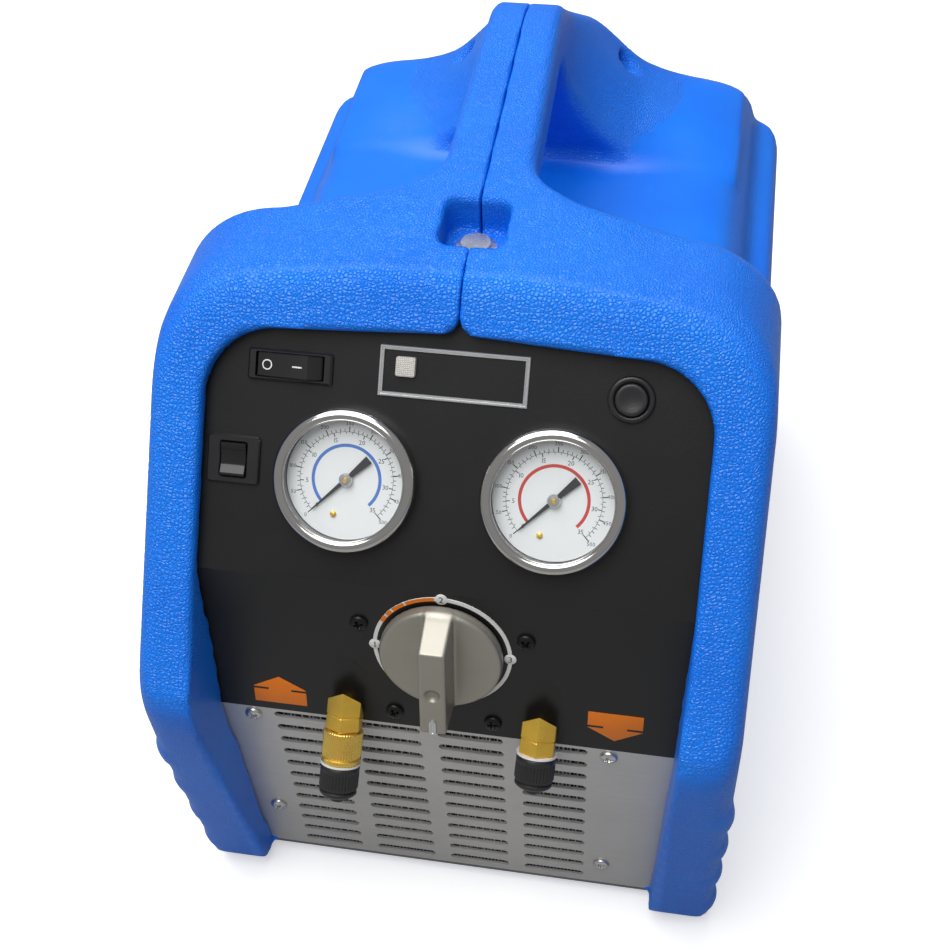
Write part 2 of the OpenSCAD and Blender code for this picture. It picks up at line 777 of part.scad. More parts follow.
module panel_window(size) { centred_box(size, -2 * panel_thickness, panel_thickness); }
function switch_body_size() = [switch_width - 4, switch_height - 1.6];
function breaker_body_size() = [breaker_width - 4, breaker_height - 4];
function port_stub() = port_hex / 2 - 1;

function slot_x(column) = grille_shift + (column - (slot_columns - 1) / 2) * slot_column_pitch;
module slot_outline(length, width) {
  straight = length - width;
  translate([-straight / 2, -width / 2]) square([straight, width]);
  for (side = [-1, 1]) translate([side * straight / 2, 0]) circle(d = width, $fn = 24);
}
module lower_grille() {
  flange_low = lower_end_z - grille_thickness;
  color("silver") difference() {
    union() {
      on_grille(-panel_half_width, grille_length) translate([0, 0, -grille_thickness])
        cube([2 * panel_half_width, grille_length - grille_thickness, grille_thickness]);
      along_x(-panel_half_width, panel_half_width) polygon([
        [lower_end_y, lower_end_z],
        [lower_end_y + 2 * grille_thickness * tan(grille_lean), flange_low - grille_thickness],
        [lower_end_y + grille_thickness, flange_low - grille_thickness],
        [lower_end_y + 2 * grille_thickness, flange_low],
        [lower_end_y + flange_depth, flange_low],
        [lower_end_y + flange_depth, lower_end_z]
      ]);
    }
    for (column = [0 : slot_columns - 1], row = [0 : slot_rows - 1])
      on_grille(slot_x(column), slot_first_row + row * slot_row_pitch)
        translate([0, 0, -2 * grille_thickness])
          linear_extrude(3 * grille_thickness) slot_outline(slot_length, slot_width);
    for (spot = grille_screw_spots)
      on_grille(grille_shift + spot.x, spot.y)
        translate([0, 0, -2 * grille_thickness])
          cylinder(r = screw_radius + seat_gap, h = 3 * grille_thickness);
  }
}
module panel_screws() {
  color("black")
    for (spot = panel_screw_spots)
      on_lower(spot.x, spot.y) pan_screw(screw_head_radius, screw_head_height, screw_radius, screw_length);
}
module grille_screws() {
  color("gainsboro")
    for (spot = grille_screw_spots)
      on_grille(grille_shift + spot.x, spot.y)
        pan_screw(screw_head_radius, screw_head_height, screw_radius, 2 * grille_thickness);
}

// Rear panel with vent slots and the mains inlet's cut-out
rear_panel_overlap = 5;
rear_panel_y = rear_y - wall - rear_panel_thickness;
inlet_body = [28, 20];
inlet_flange = [48, 24];
module rear_panel() {
  half = rear_opening_half_width + rear_panel_overlap;
  low = ground_gap + rear_opening_sill - rear_panel_overlap;
  vent_rows = 8;
  vent_pitch = 11;
  vent = [46, 6];
  vent_x = rear_opening_half_width / 2;
  color("dimgray") difference() {
    translate([-half, rear_panel_y, low])
      cube([2 * half, rear_panel_thickness, rear_opening_height + 2 * rear_panel_overlap]);
    for (side = [-1, 1], row = [0 : vent_rows - 1])
      translate([side * vent_x, rear_y, low + rear_opening_height - vent_pitch - row * vent_pitch])
        rotate([90, 0, 0]) linear_extrude(3 * wall) slot_outline(vent.x, vent.y);
    translate([inlet_socket_x, rear_y, inlet_socket_height])
      rotate([90, 0, 0]) centred_box(inlet_body + [2, 2] * panel_gap, 0, 3 * wall);
  }
}
module power_inlet() {
  cavity = [24.4, 16.4];
  cavity_depth = 16;
  depth = 22;
  flange = 2.5;
  pin = [2, 4, 14];
  color("black") translate([inlet_socket_x, rear_panel_y + rear_panel_thickness, inlet_socket_height])
    rotate([-90, 0, 0]) {
      difference() {
        union() {
          centred_box(inlet_flange, 0, flange);
          centred_box(inlet_body, -depth, past);
        }
        centred_box(cavity, flange - cavity_depth, flange + past);
      }
      for (spot = [[-7, 2], [7, 2], [0, -4.2]])
        translate([spot.x, spot.y, flange - cavity_depth - past]) centred_box([pin.x, pin.y], 0, pin.z);
    }
}

// Base plate on the casing's floor flange, and the feet under the casing
module base_plate() {
  half = half_width - wall - side_floor_edge;
  back = rear_y - wall - rear_floor_edge;
  color("slategray") translate([-half, grille_foot_y, floor_top])
    cube([2 * half, back - grille_foot_y, base_thickness]);
}
module rubber_feet() {
  foot_radius = 11;
  inset_x = half_width - foot_radius - 5;
  color("black")
    for (side = [-1, 1], y = [foot_y + 24, rear_y - 24])
      translate([side * inset_x, y, 0]) cylinder(r = foot_radius, h = ground_gap);
}

// Rocker switch, tipped to its off side
module switch_frame() {
  flange = 2;
  window = [2 * rocker_half_length + 2 * panel_gap, 2 * rocker_half_height + 2 * panel_gap];
  color("black") on_upper(switch_x, switch_rise) difference() {
    union() {
      centred_box([switch_width, switch_height], 0, flange);
      centred_box(switch_body_size(), -switch_body_depth, past);
    }
    centred_box(window, rocker_pivot - 7, flange + past);
    translate([0, 0, rocker_pivot]) rotate([90, 0, 0])
      cylinder(r = rocker_pin + running_gap, h = 2 * rocker_half_height + 1.7, center = true, $fn = 32);
  }
}
module switch_rocker() {
  reach = rocker_half_length;
  high = 22;
  low = 8;
  side_outline = [
    [-reach * cos(low), -reach * sin(low)], [-8, -5], [8, -5], [reach * cos(low), -reach * sin(low)],
    [reach * cos(high), reach * sin(high)], [0, 3.1], [-reach * cos(high), reach * sin(high)]
  ];
  color("black") on_upper(switch_x, switch_rise)
    translate([0, 0, rocker_pivot]) rotate([0, -rocker_tilt, 0]) {
      along_y(-rocker_half_height, rocker_half_height) polygon(side_outline);
      rotate([90, 0, 0])
        cylinder(r = rocker_pin, h = 2 * rocker_half_height + 1.5, center = true, $fn = 32);
    }
}

// Framed indicator field and its lamp
module indicator_frame() {
  border = 1.8;
  color("silver") on_upper(indicator_x, indicator_rise) difference() {
    centred_box([indicator_width, indicator_height], 0, 0.8);
    centred_box([indicator_width - 2 * border, indicator_height - 2 * border], -past, past);
  }
}
module indicator_lens() {
  color("seashell") on_upper(lens_x, lens_rise) {
    centred_box([lens_size, lens_size], 0, 2.4);
    translate([0, 0, -8]) cylinder(r = lens_stem, h = 8 + past, $fn = 32);
  }
}

// Start button in its bezel
module start_bezel() {
  color("black") on_upper(start_x, start_rise) difference() {
    union() {
      cylinder(r = start_bezel_radius, h = 1.6);
      translate([0, 0, -start_tube_depth]) cylinder(r = start_tube_radius, h = start_tube_depth);
    }
    translate([0, 0, 1.5 - start_tube_depth])
      cylinder(r = start_button_radius + panel_gap, h = start_tube_depth + past);
  }
}
module start_button() {
  color("black") on_upper(start_x, start_rise)
    translate([0, 0, -start_tube_depth + 1.8 + start_travel])
      cylinder(r = start_button_radius, h = start_tube_depth + 1.2 - start_travel);
}

// Circuit breaker with its reset button
module breaker_body() {
  window = [breaker_button_width, breaker_button_height] + [2, 2] * panel_gap;
  color("black") on_upper(breaker_x, breaker_rise) difference() {
    union() {
      centred_box([breaker_width, breaker_height], 0, breaker_plate);
      centred_box(breaker_body_size(), -breaker_body_depth, past);
    }
    centred_box(window, 2 - breaker_body_depth, breaker_plate + past);
  }
}
module breaker_button() {
  color("dimgray") on_upper(breaker_x, breaker_rise)
    centred_box(
      [breaker_button_width, breaker_button_height], 2 + panel_gap - breaker_body_depth, breaker_plate + 1.2
    );
}

// Gauges: a can with an inner ledge for the dial, a needle on a pivot, a lens and a bezel
module gauge_case(side) {
  post_top = -7;
  color("dimgray") on_upper(side * gauge_spread, gauge_rise) {
    difference() {
      translate([0, 0, -gauge_can_depth]) cylinder(r = gauge_can_radius, h = gauge_can_depth + lens_seat);
      translate([0, 0, dial_seat]) cylinder(r = can_bore, h = lens_seat - dial_seat + past);
      translate([0, 0, 2 - gauge_can_depth]) cylinder(r = can_bore - 3, h = gauge_can_depth);
    }
    difference() {
      translate([0, 0, 2 - gauge_can_depth]) cylinder(r = 4, h = gauge_can_depth - 2 + post_top);
      translate([0, 0, post_top - 8]) cylinder(r = pivot_radius + running_gap, h = 8 + past, $fn = 32);
    }
    translate([0, 0, -gauge_can_depth - gauge_stem]) cylinder(r = 5, h = gauge_stem);
  }
}
module gauge_bezel(side) {
  lens_top = lens_seat + lens_thickness;
  color("silver") on_upper(side * gauge_spread, gauge_rise) rotate_extrude()
    polygon([
      [gauge_can_radius + seat_gap, 0], [bezel_radius, 0], [bezel_radius, bezel_height - 2.4],
      [bezel_radius - 1.6, bezel_height], [dial_view_radius + 1, bezel_height],
      [dial_view_radius, bezel_height - 0.6], [dial_view_radius, lens_top],
      [gauge_can_radius + seat_gap, lens_top]
    ]);
}
module gauge_dial(side) {
  color("white") on_upper(side * gauge_spread, gauge_rise) translate([0, 0, dial_seat])
    disc_ring(can_bore - panel_gap, pivot_radius + panel_gap, dial_thickness);
}
module gauge_needle(side) {
  needle_seat = 0.4;
  needle_thickness = 0.6;
  color("black") on_upper(side * gauge_spread, gauge_rise) {
    translate([0, 0, -14]) cylinder(r = pivot_radius, h = 14 + needle_seat + past, $fn = 32);
    translate([0, 0, needle_seat]) cylinder(r = 2.4, h = 2);
    translate([0, 0, needle_seat]) rotate([0, 0, 180 - needle_zero]) linear_extrude(needle_thickness)
      polygon([
        [-0.2, needle_reach], [-0.9, 0], [-1.3, -needle_tail],
        [1.3, -needle_tail], [0.9, 0], [0.2, needle_reach]
      ]);
  }
}
module gauge_lens(side) {
  color("lightcyan", 0.3) on_upper(side * gauge_spread, gauge_rise)
    translate([0, 0, lens_seat]) cylinder(r = gauge_can_radius - panel_gap, h = lens_thickness);
}
module low_gauge_case() { gauge_case(-1); }
module low_gauge_bezel() { gauge_bezel(-1); }
module low_gauge_dial() { gauge_dial(-1); }
module low_gauge_needle() { gauge_needle(-1); }
module low_gauge_lens() { gauge_lens(-1); }
module high_gauge_case() { gauge_case(1); }
module high_gauge_bezel() { gauge_bezel(1); }
module high_gauge_dial() { gauge_dial(1); }
module high_gauge_needle() { gauge_needle(1); }
module high_gauge_lens() { gauge_lens(1); }

// Mode knob on the stem of the valve block
index_ring_height = 0.5;
knob_gap = 0.8;
module index_ring() {
  ring_width = 2;
  badge_radius = 3;
  track = index_ring_radius - ring_width / 2;
  color("gainsboro") on_lower(0, knob_drop) {
    disc_ring(index_ring_radius, index_ring_radius - ring_width, index_ring_height);
    for (turn = [for (k = [1 : 3]) -90 - k * knob_turn / 3])
      translate([track * cos(turn), track * sin(turn), 0]) difference() {
        cylinder(r = badge_radius, h = index_ring_height, $fn = 32);
        rotate([0, 0, turn]) translate([-track, 0, -past])
          cylinder(r = knob_radius + panel_gap, h = index_ring_height + 2 * past);
      }
  }
}
module mode_knob() {
  disc_top = knob_disc_height;
  grip_top = disc_top + knob_grip_height;
  ridge = knob_radius * 0.35;
  grip_side = [
    [-knob_radius + 0.5, disc_top - 2], [knob_radius - 1, disc_top - 2], [knob_radius - 1, disc_top + 1],
    [ridge, grip_top], [-knob_radius + 0.5, grip_top]
  ];
  color("silver") on_lower(0, knob_drop) {
    rotate_extrude() polygon([
      [0, knob_gap], [knob_radius, knob_gap], [knob_radius, disc_top - 3],
      [knob_radius - 0.9, disc_top - 0.9], [knob_radius - 3, disc_top], [0, disc_top]
    ]);
    along_x(-knob_grip_width / 2, knob_grip_width / 2) polygon(round_outline(grip_side, [0, 0, 0, 4, 3]));
  }
}
module valve_stem() {
  color("goldenrod") on_lower(0, knob_drop)
    translate([0, 0, block_front - stem_depth])
      cylinder(r = stem_radius, h = stem_depth - block_front + knob_gap);
}
module valve_block() {
  color("goldenrod") difference() {
    on_lower(0, 0) translate([-block_half_width, block_bottom, block_back])
      cube([2 * block_half_width, block_top - block_bottom, block_depth]);
    on_lower(0, knob_drop) translate([0, 0, block_front - stem_depth - panel_gap])
      cylinder(r = stem_radius + running_gap, h = block_depth);
    for (spot = panel_screw_spots)
      on_lower(spot.x, spot.y) translate([0, 0, -screw_length - panel_gap])
        cylinder(r = screw_radius + seat_gap, h = screw_length);
  }
}

// Hose ports: brass bodies that slope down, a knurled coupling on the inlet, and caps
module port_body(side) {
  difference() {
    union() {
      on_lower(side * port_spread, port_drop) translate([0, 0, block_front])
        cylinder(r = port_stub(), h = port_hex / 2 - block_front);
      on_port(side) translate([0, 0, -port_hex]) rotate([0, 0, 30])
        cylinder(d = port_hex / cos(30), h = port_hex + port_end, $fn = 6);
    }
    difference() {
      on_lower(side * port_spread, port_drop) translate([0, 0, -4 * port_hex + panel_gap])
        cylinder(r = 2 * port_hex, h = 4 * port_hex);
      on_lower(side * port_spread, port_drop) translate([0, 0, block_front])
        cylinder(r = port_stub(), h = port_hex);
    }
  }
}
spigot_length = 8;
module inlet_fitting() {
  color("darkgoldenrod") {
    port_body(-1);
    on_port(-1) translate([0, 0, port_end - past])
      cylinder(r = flare_radius, h = spigot_length + past);
  }
}
module outlet_fitting() {
  color("darkgoldenrod") {
    port_body(1);
    on_port(1) translate([0, 0, port_end - past]) cylinder(r = flare_radius, h = flare_length + past);
  }
}
seal_lip = 0.2;
module port_seal(side, start) {
  color("white") on_port(side) translate([0, 0, start])
    disc_ring(cap_radius + seal_lip, flare_radius + panel_gap, seal_thickness);
}
module inlet_seal() { port_seal(-1, coupling_end); }
module outlet_seal() { port_seal(1, port_end); }
module inlet_coupling() {
  color("goldenrod") on_port(-1) difference() {
    union() {
      translate([0, 0, coupling_start]) cylinder(r = coupling_radius, h = coupling_length);
      translate([0, 0, coupling_end - past]) cylinder(r = flare_radius, h = flare_length + past);
    }
    translate([0, 0, coupling_start - past])
      cylinder(r = flare_radius + running_gap, h = spigot_length + past);
  }
}
module port_cap(side, start) {
  color("black") on_port(side) translate([0, 0, start]) difference() {
    union() {
      cylinder(r = cap_radius, h = cap_length);
      cylinder(r = cap_tip_radius, h = cap_length + cap_tip_length);
    }
    translate([0, 0, -past]) cylinder(r = flare_radius + panel_gap, h = flare_length + panel_gap + past);
  }
}
module inlet_cap() { port_cap(-1, coupling_end + seal_thickness + panel_gap); }
module outlet_cap() { port_cap(1, port_end + seal_thickness + panel_gap); }

// Condenser behind the grille, with its tubes' return bends at both ends
condenser_rows = 5;
condenser_pitch = condenser_height / condenser_rows;
function condenser_row_z(row) = base_top + (row + 0.5) * condenser_pitch;
module condenser_core() {
  fin_pitch = 4;
  groove = 1.6;
  groove_depth = 3;
  end_plate = 2;
  grooves = floor(2 * (condenser_half_width - end_plate) / fin_pitch);
  color("lightgray") difference() {
    translate([grille_shift - condenser_half_width, condenser_y, base_top])
      cube([2 * condenser_half_width, condenser_depth, condenser_height]);
    for (i = [0 : grooves - 1]) {
      groove_x = grille_shift + (i - (grooves - 1) / 2) * fin_pitch - groove / 2;
      translate([groove_x, condenser_y - past, base_top + end_plate])
        cube([groove, groove_depth + past, condenser_height - 2 * end_plate]);
    }
  }
}
condenser_mid_y = condenser_y + condenser_depth / 2;
bend_radius = condenser_pitch / 2;
module return_bend(side, row) {
  translate([grille_shift + side * condenser_half_width, condenser_mid_y, condenser_row_z(row) + bend_radius])
    rotate([90, 0, side > 0 ? 0 : 180])
      rotate([0, 0, -90]) rotate_extrude(angle = 180, $fn = 48)
        translate([bend_radius, 0]) circle(r = pipe_radius, $fn = 24);
}
module condenser_tubes() {
  color("peru") {
    for (row = [0 : 2 : condenser_rows - 2]) return_bend(1, row);
    for (row = [1 : 2 : condenser_rows - 2]) return_bend(-1, row);
  }
}

// Fan in its shroud
module fan_shroud() {
  half = condenser_half_width;
  tip = fan_radius + fan_tip_gap;
  color("dimgray") difference() {
    union() {
      translate([grille_shift - half, condenser_back, base_top])
        cube([2 * half, shroud_thickness, condenser_height + 4]);
      on_shaft(condenser_back, condenser_back + collar_depth, tip + shroud_thickness);
    }
    on_shaft(condenser_back - past, condenser_back + collar_depth + past, tip);
  }
}
module cooling_fan() {
  hub_radius = 14;
  blade_count = 7;
  blade_pitch = 35;
  blade_thickness = 1.6;
  color("white") difference() {
    union() {
      on_shaft(fan_front, fan_back, hub_radius);
      intersection() {
        on_shaft(fan_front, fan_back, fan_radius);
        translate([0, (fan_front + fan_back) / 2, shaft_z])
          for (i = [0 : blade_count - 1])
            rotate([0, i * 360 / blade_count, 0]) rotate([0, 0, blade_pitch])
              translate([-fan_width, -blade_thickness / 2, hub_radius - 3])
                cube([2 * fan_width, blade_thickness, fan_radius]);
      }
    }
    on_shaft(fan_front - past, fan_back + past, shaft_radius + press_gap);
  }
}

// Motor: housing with two bearings, stator, rotor on the shaft, and a cradle on the base plate
module motor_housing() {
  color("gray") difference() {
    on_shaft(motor_front, motor_back, motor_radius);
    on_shaft(motor_front + shield, motor_back - shield, motor_radius - motor_wall);
    on_shaft(motor_front - past, motor_back + past, bearing_radius);
  }
}
module motor_bearings() {
  color("silver")
    for (y = [motor_front, motor_back - shield]) difference() {
      on_shaft(y, y + shield, bearing_radius - running_gap);
      on_shaft(y - past, y + shield + past, shaft_radius + running_gap);
    }
}
stack_margin = 14;
stack_front = motor_front + shield + stack_margin;
stack_back = motor_back - shield - stack_margin;
module stator() {
  color("indianred") difference() {
    on_shaft(stack_front, stack_back, motor_radius - motor_wall - running_gap);
    on_shaft(motor_front, motor_back, rotor_radius + air_gap);
  }
}
module rotor_core() {
  color("darkgray") difference() {
    on_shaft(stack_front, stack_back, rotor_radius);
    on_shaft(motor_front, motor_back, shaft_radius + press_gap);
  }
}
module motor_cradle() {
  half = motor_radius * 0.7;
  color("dimgray") difference() {
    translate([-half, motor_front + shield, base_top])
      cube([2 * half, motor_length - 2 * shield, shaft_height - motor_radius * 0.5]);
    on_shaft(motor_front, motor_back, motor_radius + seat_gap);
  }
}
module drive_shaft() {
  crank_radius = 13;
  crank_width = 16;
  color("silver") {
    on_shaft(fan_front, crankcase_back - crankcase_wall - crank_width / 2, shaft_radius);
    translate([0, barrel_y - crank_width / 2, shaft_z + crank_throw])
      rotate([-90, 0, 0]) cylinder(r = crank_radius, h = crank_width);
  }
}

// Compressor: crankcase behind the motor, two opposed finned cylinders, heads and pistons
module crankcase() {
  pad_half = barrel_radius + 2;
  color("lightslategray") difference() {
    union() {
      on_shaft(motor_back, crankcase_back, crankcase_radius);
      translate([-barrel_root, barrel_y - pad_half, shaft_z - pad_half])
        cube([2 * barrel_root, 2 * pad_half, 2 * pad_half]);
      translate([-pad_half, barrel_y - pad_half, base_top]) cube([2 * pad_half, 2 * pad_half, shaft_height]);
    }
    on_shaft(motor_back + crankcase_wall, crankcase_back - crankcase_wall, crankcase_radius - crankcase_wall);
    on_shaft(motor_back - past, motor_back + crankcase_wall + past, shaft_radius + 2);
    translate([-half_width, barrel_y, shaft_z])
      rotate([0, 90, 0]) cylinder(r = piston_bore, h = casing_width);
  }
}
module cylinders() {
  fins = 5;
  fin_width = 2.4;
  fin_pitch = barrel_length / fins;
  color("lightgray")
    for (side = [-1, 1]) translate([side * barrel_root, barrel_y, shaft_z]) rotate([0, side * 90, 0])
      difference() {
        union() {
          cylinder(r = barrel_radius, h = barrel_length);
          for (i = [0 : fins - 1])
            translate([0, 0, (i + 0.5) * fin_pitch]) cylinder(r = head_half, h = fin_width);
        }
        translate([0, 0, -past]) cylinder(r = piston_bore, h = barrel_length + 2 * past);
      }
}
module cylinder_heads() {
  color("lightslategray")
    for (side = [-1, 1]) translate([side * barrel_end, barrel_y, shaft_z]) rotate([0, side * 90, 0])
      centred_box([2 * head_half, 2 * head_half], 0, head_thickness);
}
module pistons() {
  piston_length = 16;
  color("whitesmoke")
    for (side = [-1, 1]) translate([side * (barrel_end - piston_length - crank_throw), barrel_y, shaft_z])
      rotate([0, side * 90, 0]) cylinder(r = piston_bore - running_gap, h = piston_length);
}

// Copper pipes: suction to the left head, discharge to the condenser, return to the valve block
head_mid = barrel_end + head_thickness / 2;
pipe_top = shaft_z + motor_radius + 40;
condenser_left = grille_shift - condenser_half_width;
condenser_right = grille_shift + condenser_half_width;
module refrigerant_pipes() {
  suction_start = lower_at(-30, 45, block_back);
  suction_turn = lower_at(-30, 45, block_back - 24);
  discharge_x = max(head_mid, condenser_right + 12);
  return_x = condenser_left - bend_radius - 4 * pipe_radius;
  return_spot = lower_at(-block_half_width, 56, block_back / 2);
  condenser_in = condenser_row_z(condenser_rows - 1);
  condenser_out = condenser_row_z(0);
  color("peru") {
    pipe_run([
      suction_start, suction_turn, [-head_mid, suction_turn.y + 40, pipe_top],
      [-head_mid, barrel_y, pipe_top], [-head_mid, barrel_y, head_top]
    ], pipe_radius);
    pipe_run([
      [head_mid, barrel_y, head_top], [head_mid, barrel_y, pipe_top],
      [discharge_x, condenser_mid_y + 40, pipe_top],
      [discharge_x, condenser_mid_y, pipe_top - 30], [discharge_x, condenser_mid_y, condenser_in],
      [condenser_right, condenser_mid_y, condenser_in]
    ], pipe_radius);
    pipe_run([
      [condenser_left, condenser_mid_y, condenser_out], [return_x, condenser_mid_y, condenser_out],
      [return_x, return_spot.y, return_spot.z], return_spot
    ], pipe_radius);
  }
}
module gauge_pipes() {
  stem_end = gauge_can_depth + gauge_stem;
  stem_lead = 10;
  block_lead = 7;
  block_entry = 0.8 * block_back;
  color("peru")
    for (side = [-1, 1]) {
      x = side * gauge_spread;
      start = upper_at(x, gauge_rise, -stem_end);
      turn = upper_at(x, gauge_rise, -stem_end - stem_lead);
      above = lower_at(x, -block_top - block_lead, block_entry);
      end = lower_at(x, -block_top, block_entry);
      pipe_run([start, turn, above, end], capillary_radius);
    }
}
module pressure_switch() {
  across = 32;
  drop = 44;
  can_radius = 10;
  can_length = 18;
  stem_radius = 5;
  stem_length = 26;
  color("steelblue") on_lower(across, drop) translate([0, 0, block_back - stem_length]) {
    cylinder(r = can_radius, h = can_length);
    cylinder(r = stem_radius, h = stem_length);
  }
}
module run_capacitor() {
  capacitor_radius = 17;
  capacitor_height = 72;
  side_gap = 12;
  setback = 30;
  left = -half_width + wall + side_gap;
  color("black") translate([left + capacitor_radius, motor_front + setback, base_top])
    cylinder(r = capacitor_radius, h = capacitor_height);
}

casing_left();
casing_right();
handle_bolt();
handle_washer();
pillar_bolt();
control_panel();
lower_grille();
rear_panel();
base_plate();
rubber_feet();
panel_screws();
grille_screws();
switch_frame();
switch_rocker();
indicator_frame();
indicator_lens();
start_bezel();
start_button();
breaker_body();
breaker_button();
low_gauge_case();
low_gauge_bezel();
low_gauge_dial();
low_gauge_needle();
low_gauge_lens();
high_gauge_case();
high_gauge_bezel();
high_gauge_dial();
high_gauge_needle();
high_gauge_lens();
index_ring();
mode_knob();
valve_stem();
valve_block();
inlet_fitting();
inlet_coupling();
inlet_seal();
inlet_cap();
outlet_fitting();
outlet_seal();
outlet_cap();
condenser_core();
condenser_tubes();
fan_shroud();
cooling_fan();
motor_housing();
motor_cradle();
stator();
rotor_core();
motor_bearings();
drive_shaft();
crankcase();
cylinders();
cylinder_heads();
pistons();
refrigerant_pipes();
gauge_pipes();
pressure_switch();
run_capacitor();
power_inlet();
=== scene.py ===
import math

import bmesh
import bpy
import numpy as np
from mathutils import Matrix, Vector


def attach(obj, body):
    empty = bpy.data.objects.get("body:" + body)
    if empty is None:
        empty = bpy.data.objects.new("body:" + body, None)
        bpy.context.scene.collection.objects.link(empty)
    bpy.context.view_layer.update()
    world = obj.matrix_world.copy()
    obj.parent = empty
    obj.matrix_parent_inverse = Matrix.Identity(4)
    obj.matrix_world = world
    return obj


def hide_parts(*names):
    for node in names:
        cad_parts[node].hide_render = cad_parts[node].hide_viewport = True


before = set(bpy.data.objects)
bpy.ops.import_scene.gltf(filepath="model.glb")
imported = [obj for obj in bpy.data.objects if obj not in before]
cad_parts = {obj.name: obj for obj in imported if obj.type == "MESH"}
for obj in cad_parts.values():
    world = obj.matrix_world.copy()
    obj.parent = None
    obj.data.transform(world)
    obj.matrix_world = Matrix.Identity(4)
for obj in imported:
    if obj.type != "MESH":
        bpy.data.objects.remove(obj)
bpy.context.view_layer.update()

# ---- Camera ----
# A camera held above the front, a little to the right of the middle and about 0.9 m away. Its axes
# and its focal length are fitted to the machine's parallel edges.
scene = bpy.context.scene
camera_data = bpy.data.cameras.new("camera")
camera_data.sensor_fit = "HORIZONTAL"
camera_data.sensor_width = 36
camera_data.lens = 55.96
camera = bpy.data.objects.new("camera", camera_data)
scene.collection.objects.link(camera)
camera_right = Vector((0.9854, 0.1659, -0.0310)).normalized()
camera_back = Vector((0.137, -0.679, 0.721)).normalized()
camera_up = camera_back.cross(camera_right).normalized()
camera_right = camera_up.cross(camera_back)
camera.matrix_world = Matrix.Translation((0.08869, -0.51753, 0.66358)) @ Matrix(
    (camera_right, camera_up, camera_back)).transposed().to_4x4()
bpy.context.scene.camera = camera


# ---- Casing ----
# Two halves of injection-moulded blue plastic with a pebbled grain on the outside. They meet along
# the middle of the handle, and bolts in the handle's pocket and rear pillar pull them together.
class Wire:
    """An output socket of a finish, or none yet. Sums, differences and products of wires and numbers
    add Math nodes. node() adds any other kind: its settings first, then its sockets' values or links."""

    def __init__(self, tree, socket=None):
        self.tree, self.socket = tree, socket

    def node(self, kind, settings={}, sockets={}, out=0):
        made = self.tree.nodes.new(kind)
        for key, value in settings.items():
            setattr(made, key, value)
        dress(made, sockets)
        return Wire(self.tree, made.outputs[out])

    def maths(self, operation, first, second):
        return self.node("ShaderNodeMath", {"operation": operation}, {0: first, 1: second})

    def __add__(self, other):
        return self.maths("ADD", self, other)

    def __sub__(self, other):
        return self.maths("SUBTRACT", self, other)

    def __rsub__(self, other):
        return self.maths("SUBTRACT", other, self)

    def __mul__(self, other):
        return self.maths("MULTIPLY", self, other)

    __radd__ = __add__
    __rmul__ = __mul__

    def held(self, low, high):
        """This value as a share of the way from low to high, held between 0 and 1."""
        return self.node("ShaderNodeMapRange", {"clamp": True},
                         {"Value": self, "From Min": low, "From Max": high})

    def blend(self, first, second):
        """The first colour where this value is 0 and the second where it is 1."""
        return self.node("ShaderNodeMix", {"data_type": "RGBA"},
                         {0: self, 6: (*first, 1.0), 7: (*second, 1.0)}, 2)

    def noise(self, scale, detail=2.0):
        return self.node("ShaderNodeTexNoise", {}, {"Vector": self, "Scale": scale, "Detail": detail})

    def relief(self, height, depth, strength=1.0):
        """A shading normal for a skin that stands out by depth, in metres, where height is 1."""
        return self.node("ShaderNodeBump", {},
                         {"Strength": strength, "Distance": depth, "Height": height})


def new_finish(name):
    """An empty finish: its material, its shader and a wire that carries the Object coordinates."""
    material = bpy.data.materials.new(name)
    material.use_nodes = True
    place = Wire(material.node_tree).node("ShaderNodeTexCoord", out="Object")
    return material, material.node_tree.nodes["Principled BSDF"], place


def dress(node, sockets):
    """Sets a node's sockets: a wire is linked, and a plain value is set on the socket itself."""
    for key, value in sockets.items():
        if isinstance(value, Wire):
            value.tree.links.new(value.socket, node.inputs[key])
        else:
            node.inputs[key].default_value = value


def rounded_outline(corners, radii, steps=8):
    """A polygon with an arc at each corner. The arc touches both sides at radius / tan(half the
    corner's angle) from the corner, and its centre lies on the bisector at radius / sin(half)."""
    corner = np.asarray(corners, float)
    radius = np.asarray(radii, float)[:, None]
    back = np.roll(corner, 1, 0) - corner
    ahead = np.roll(corner, -1, 0) - corner
    back /= np.linalg.norm(back, axis=1, keepdims=True)
    ahead /= np.linalg.norm(ahead, axis=1, keepdims=True)
    half = np.arccos(np.clip((back * ahead).sum(1, keepdims=True), -1, 1)) / 2
    bisector = back + ahead
    bisector /= np.linalg.norm(bisector, axis=1, keepdims=True)
    centre = corner + bisector * radius / np.sin(half)
    spread = np.pi / 2 - half
    across = back - bisector * (back * bisector).sum(1, keepdims=True)
    across /= np.linalg.norm(across, axis=1, keepdims=True)
    turn = spread[:, None] * np.linspace(1, -1, steps)[None, :, None]
    outward = np.sin(turn) * across[:, None] - np.cos(turn) * bisector[:, None]
    return (centre[:, None] + radius[:, None] * outward).reshape(-1, 2)


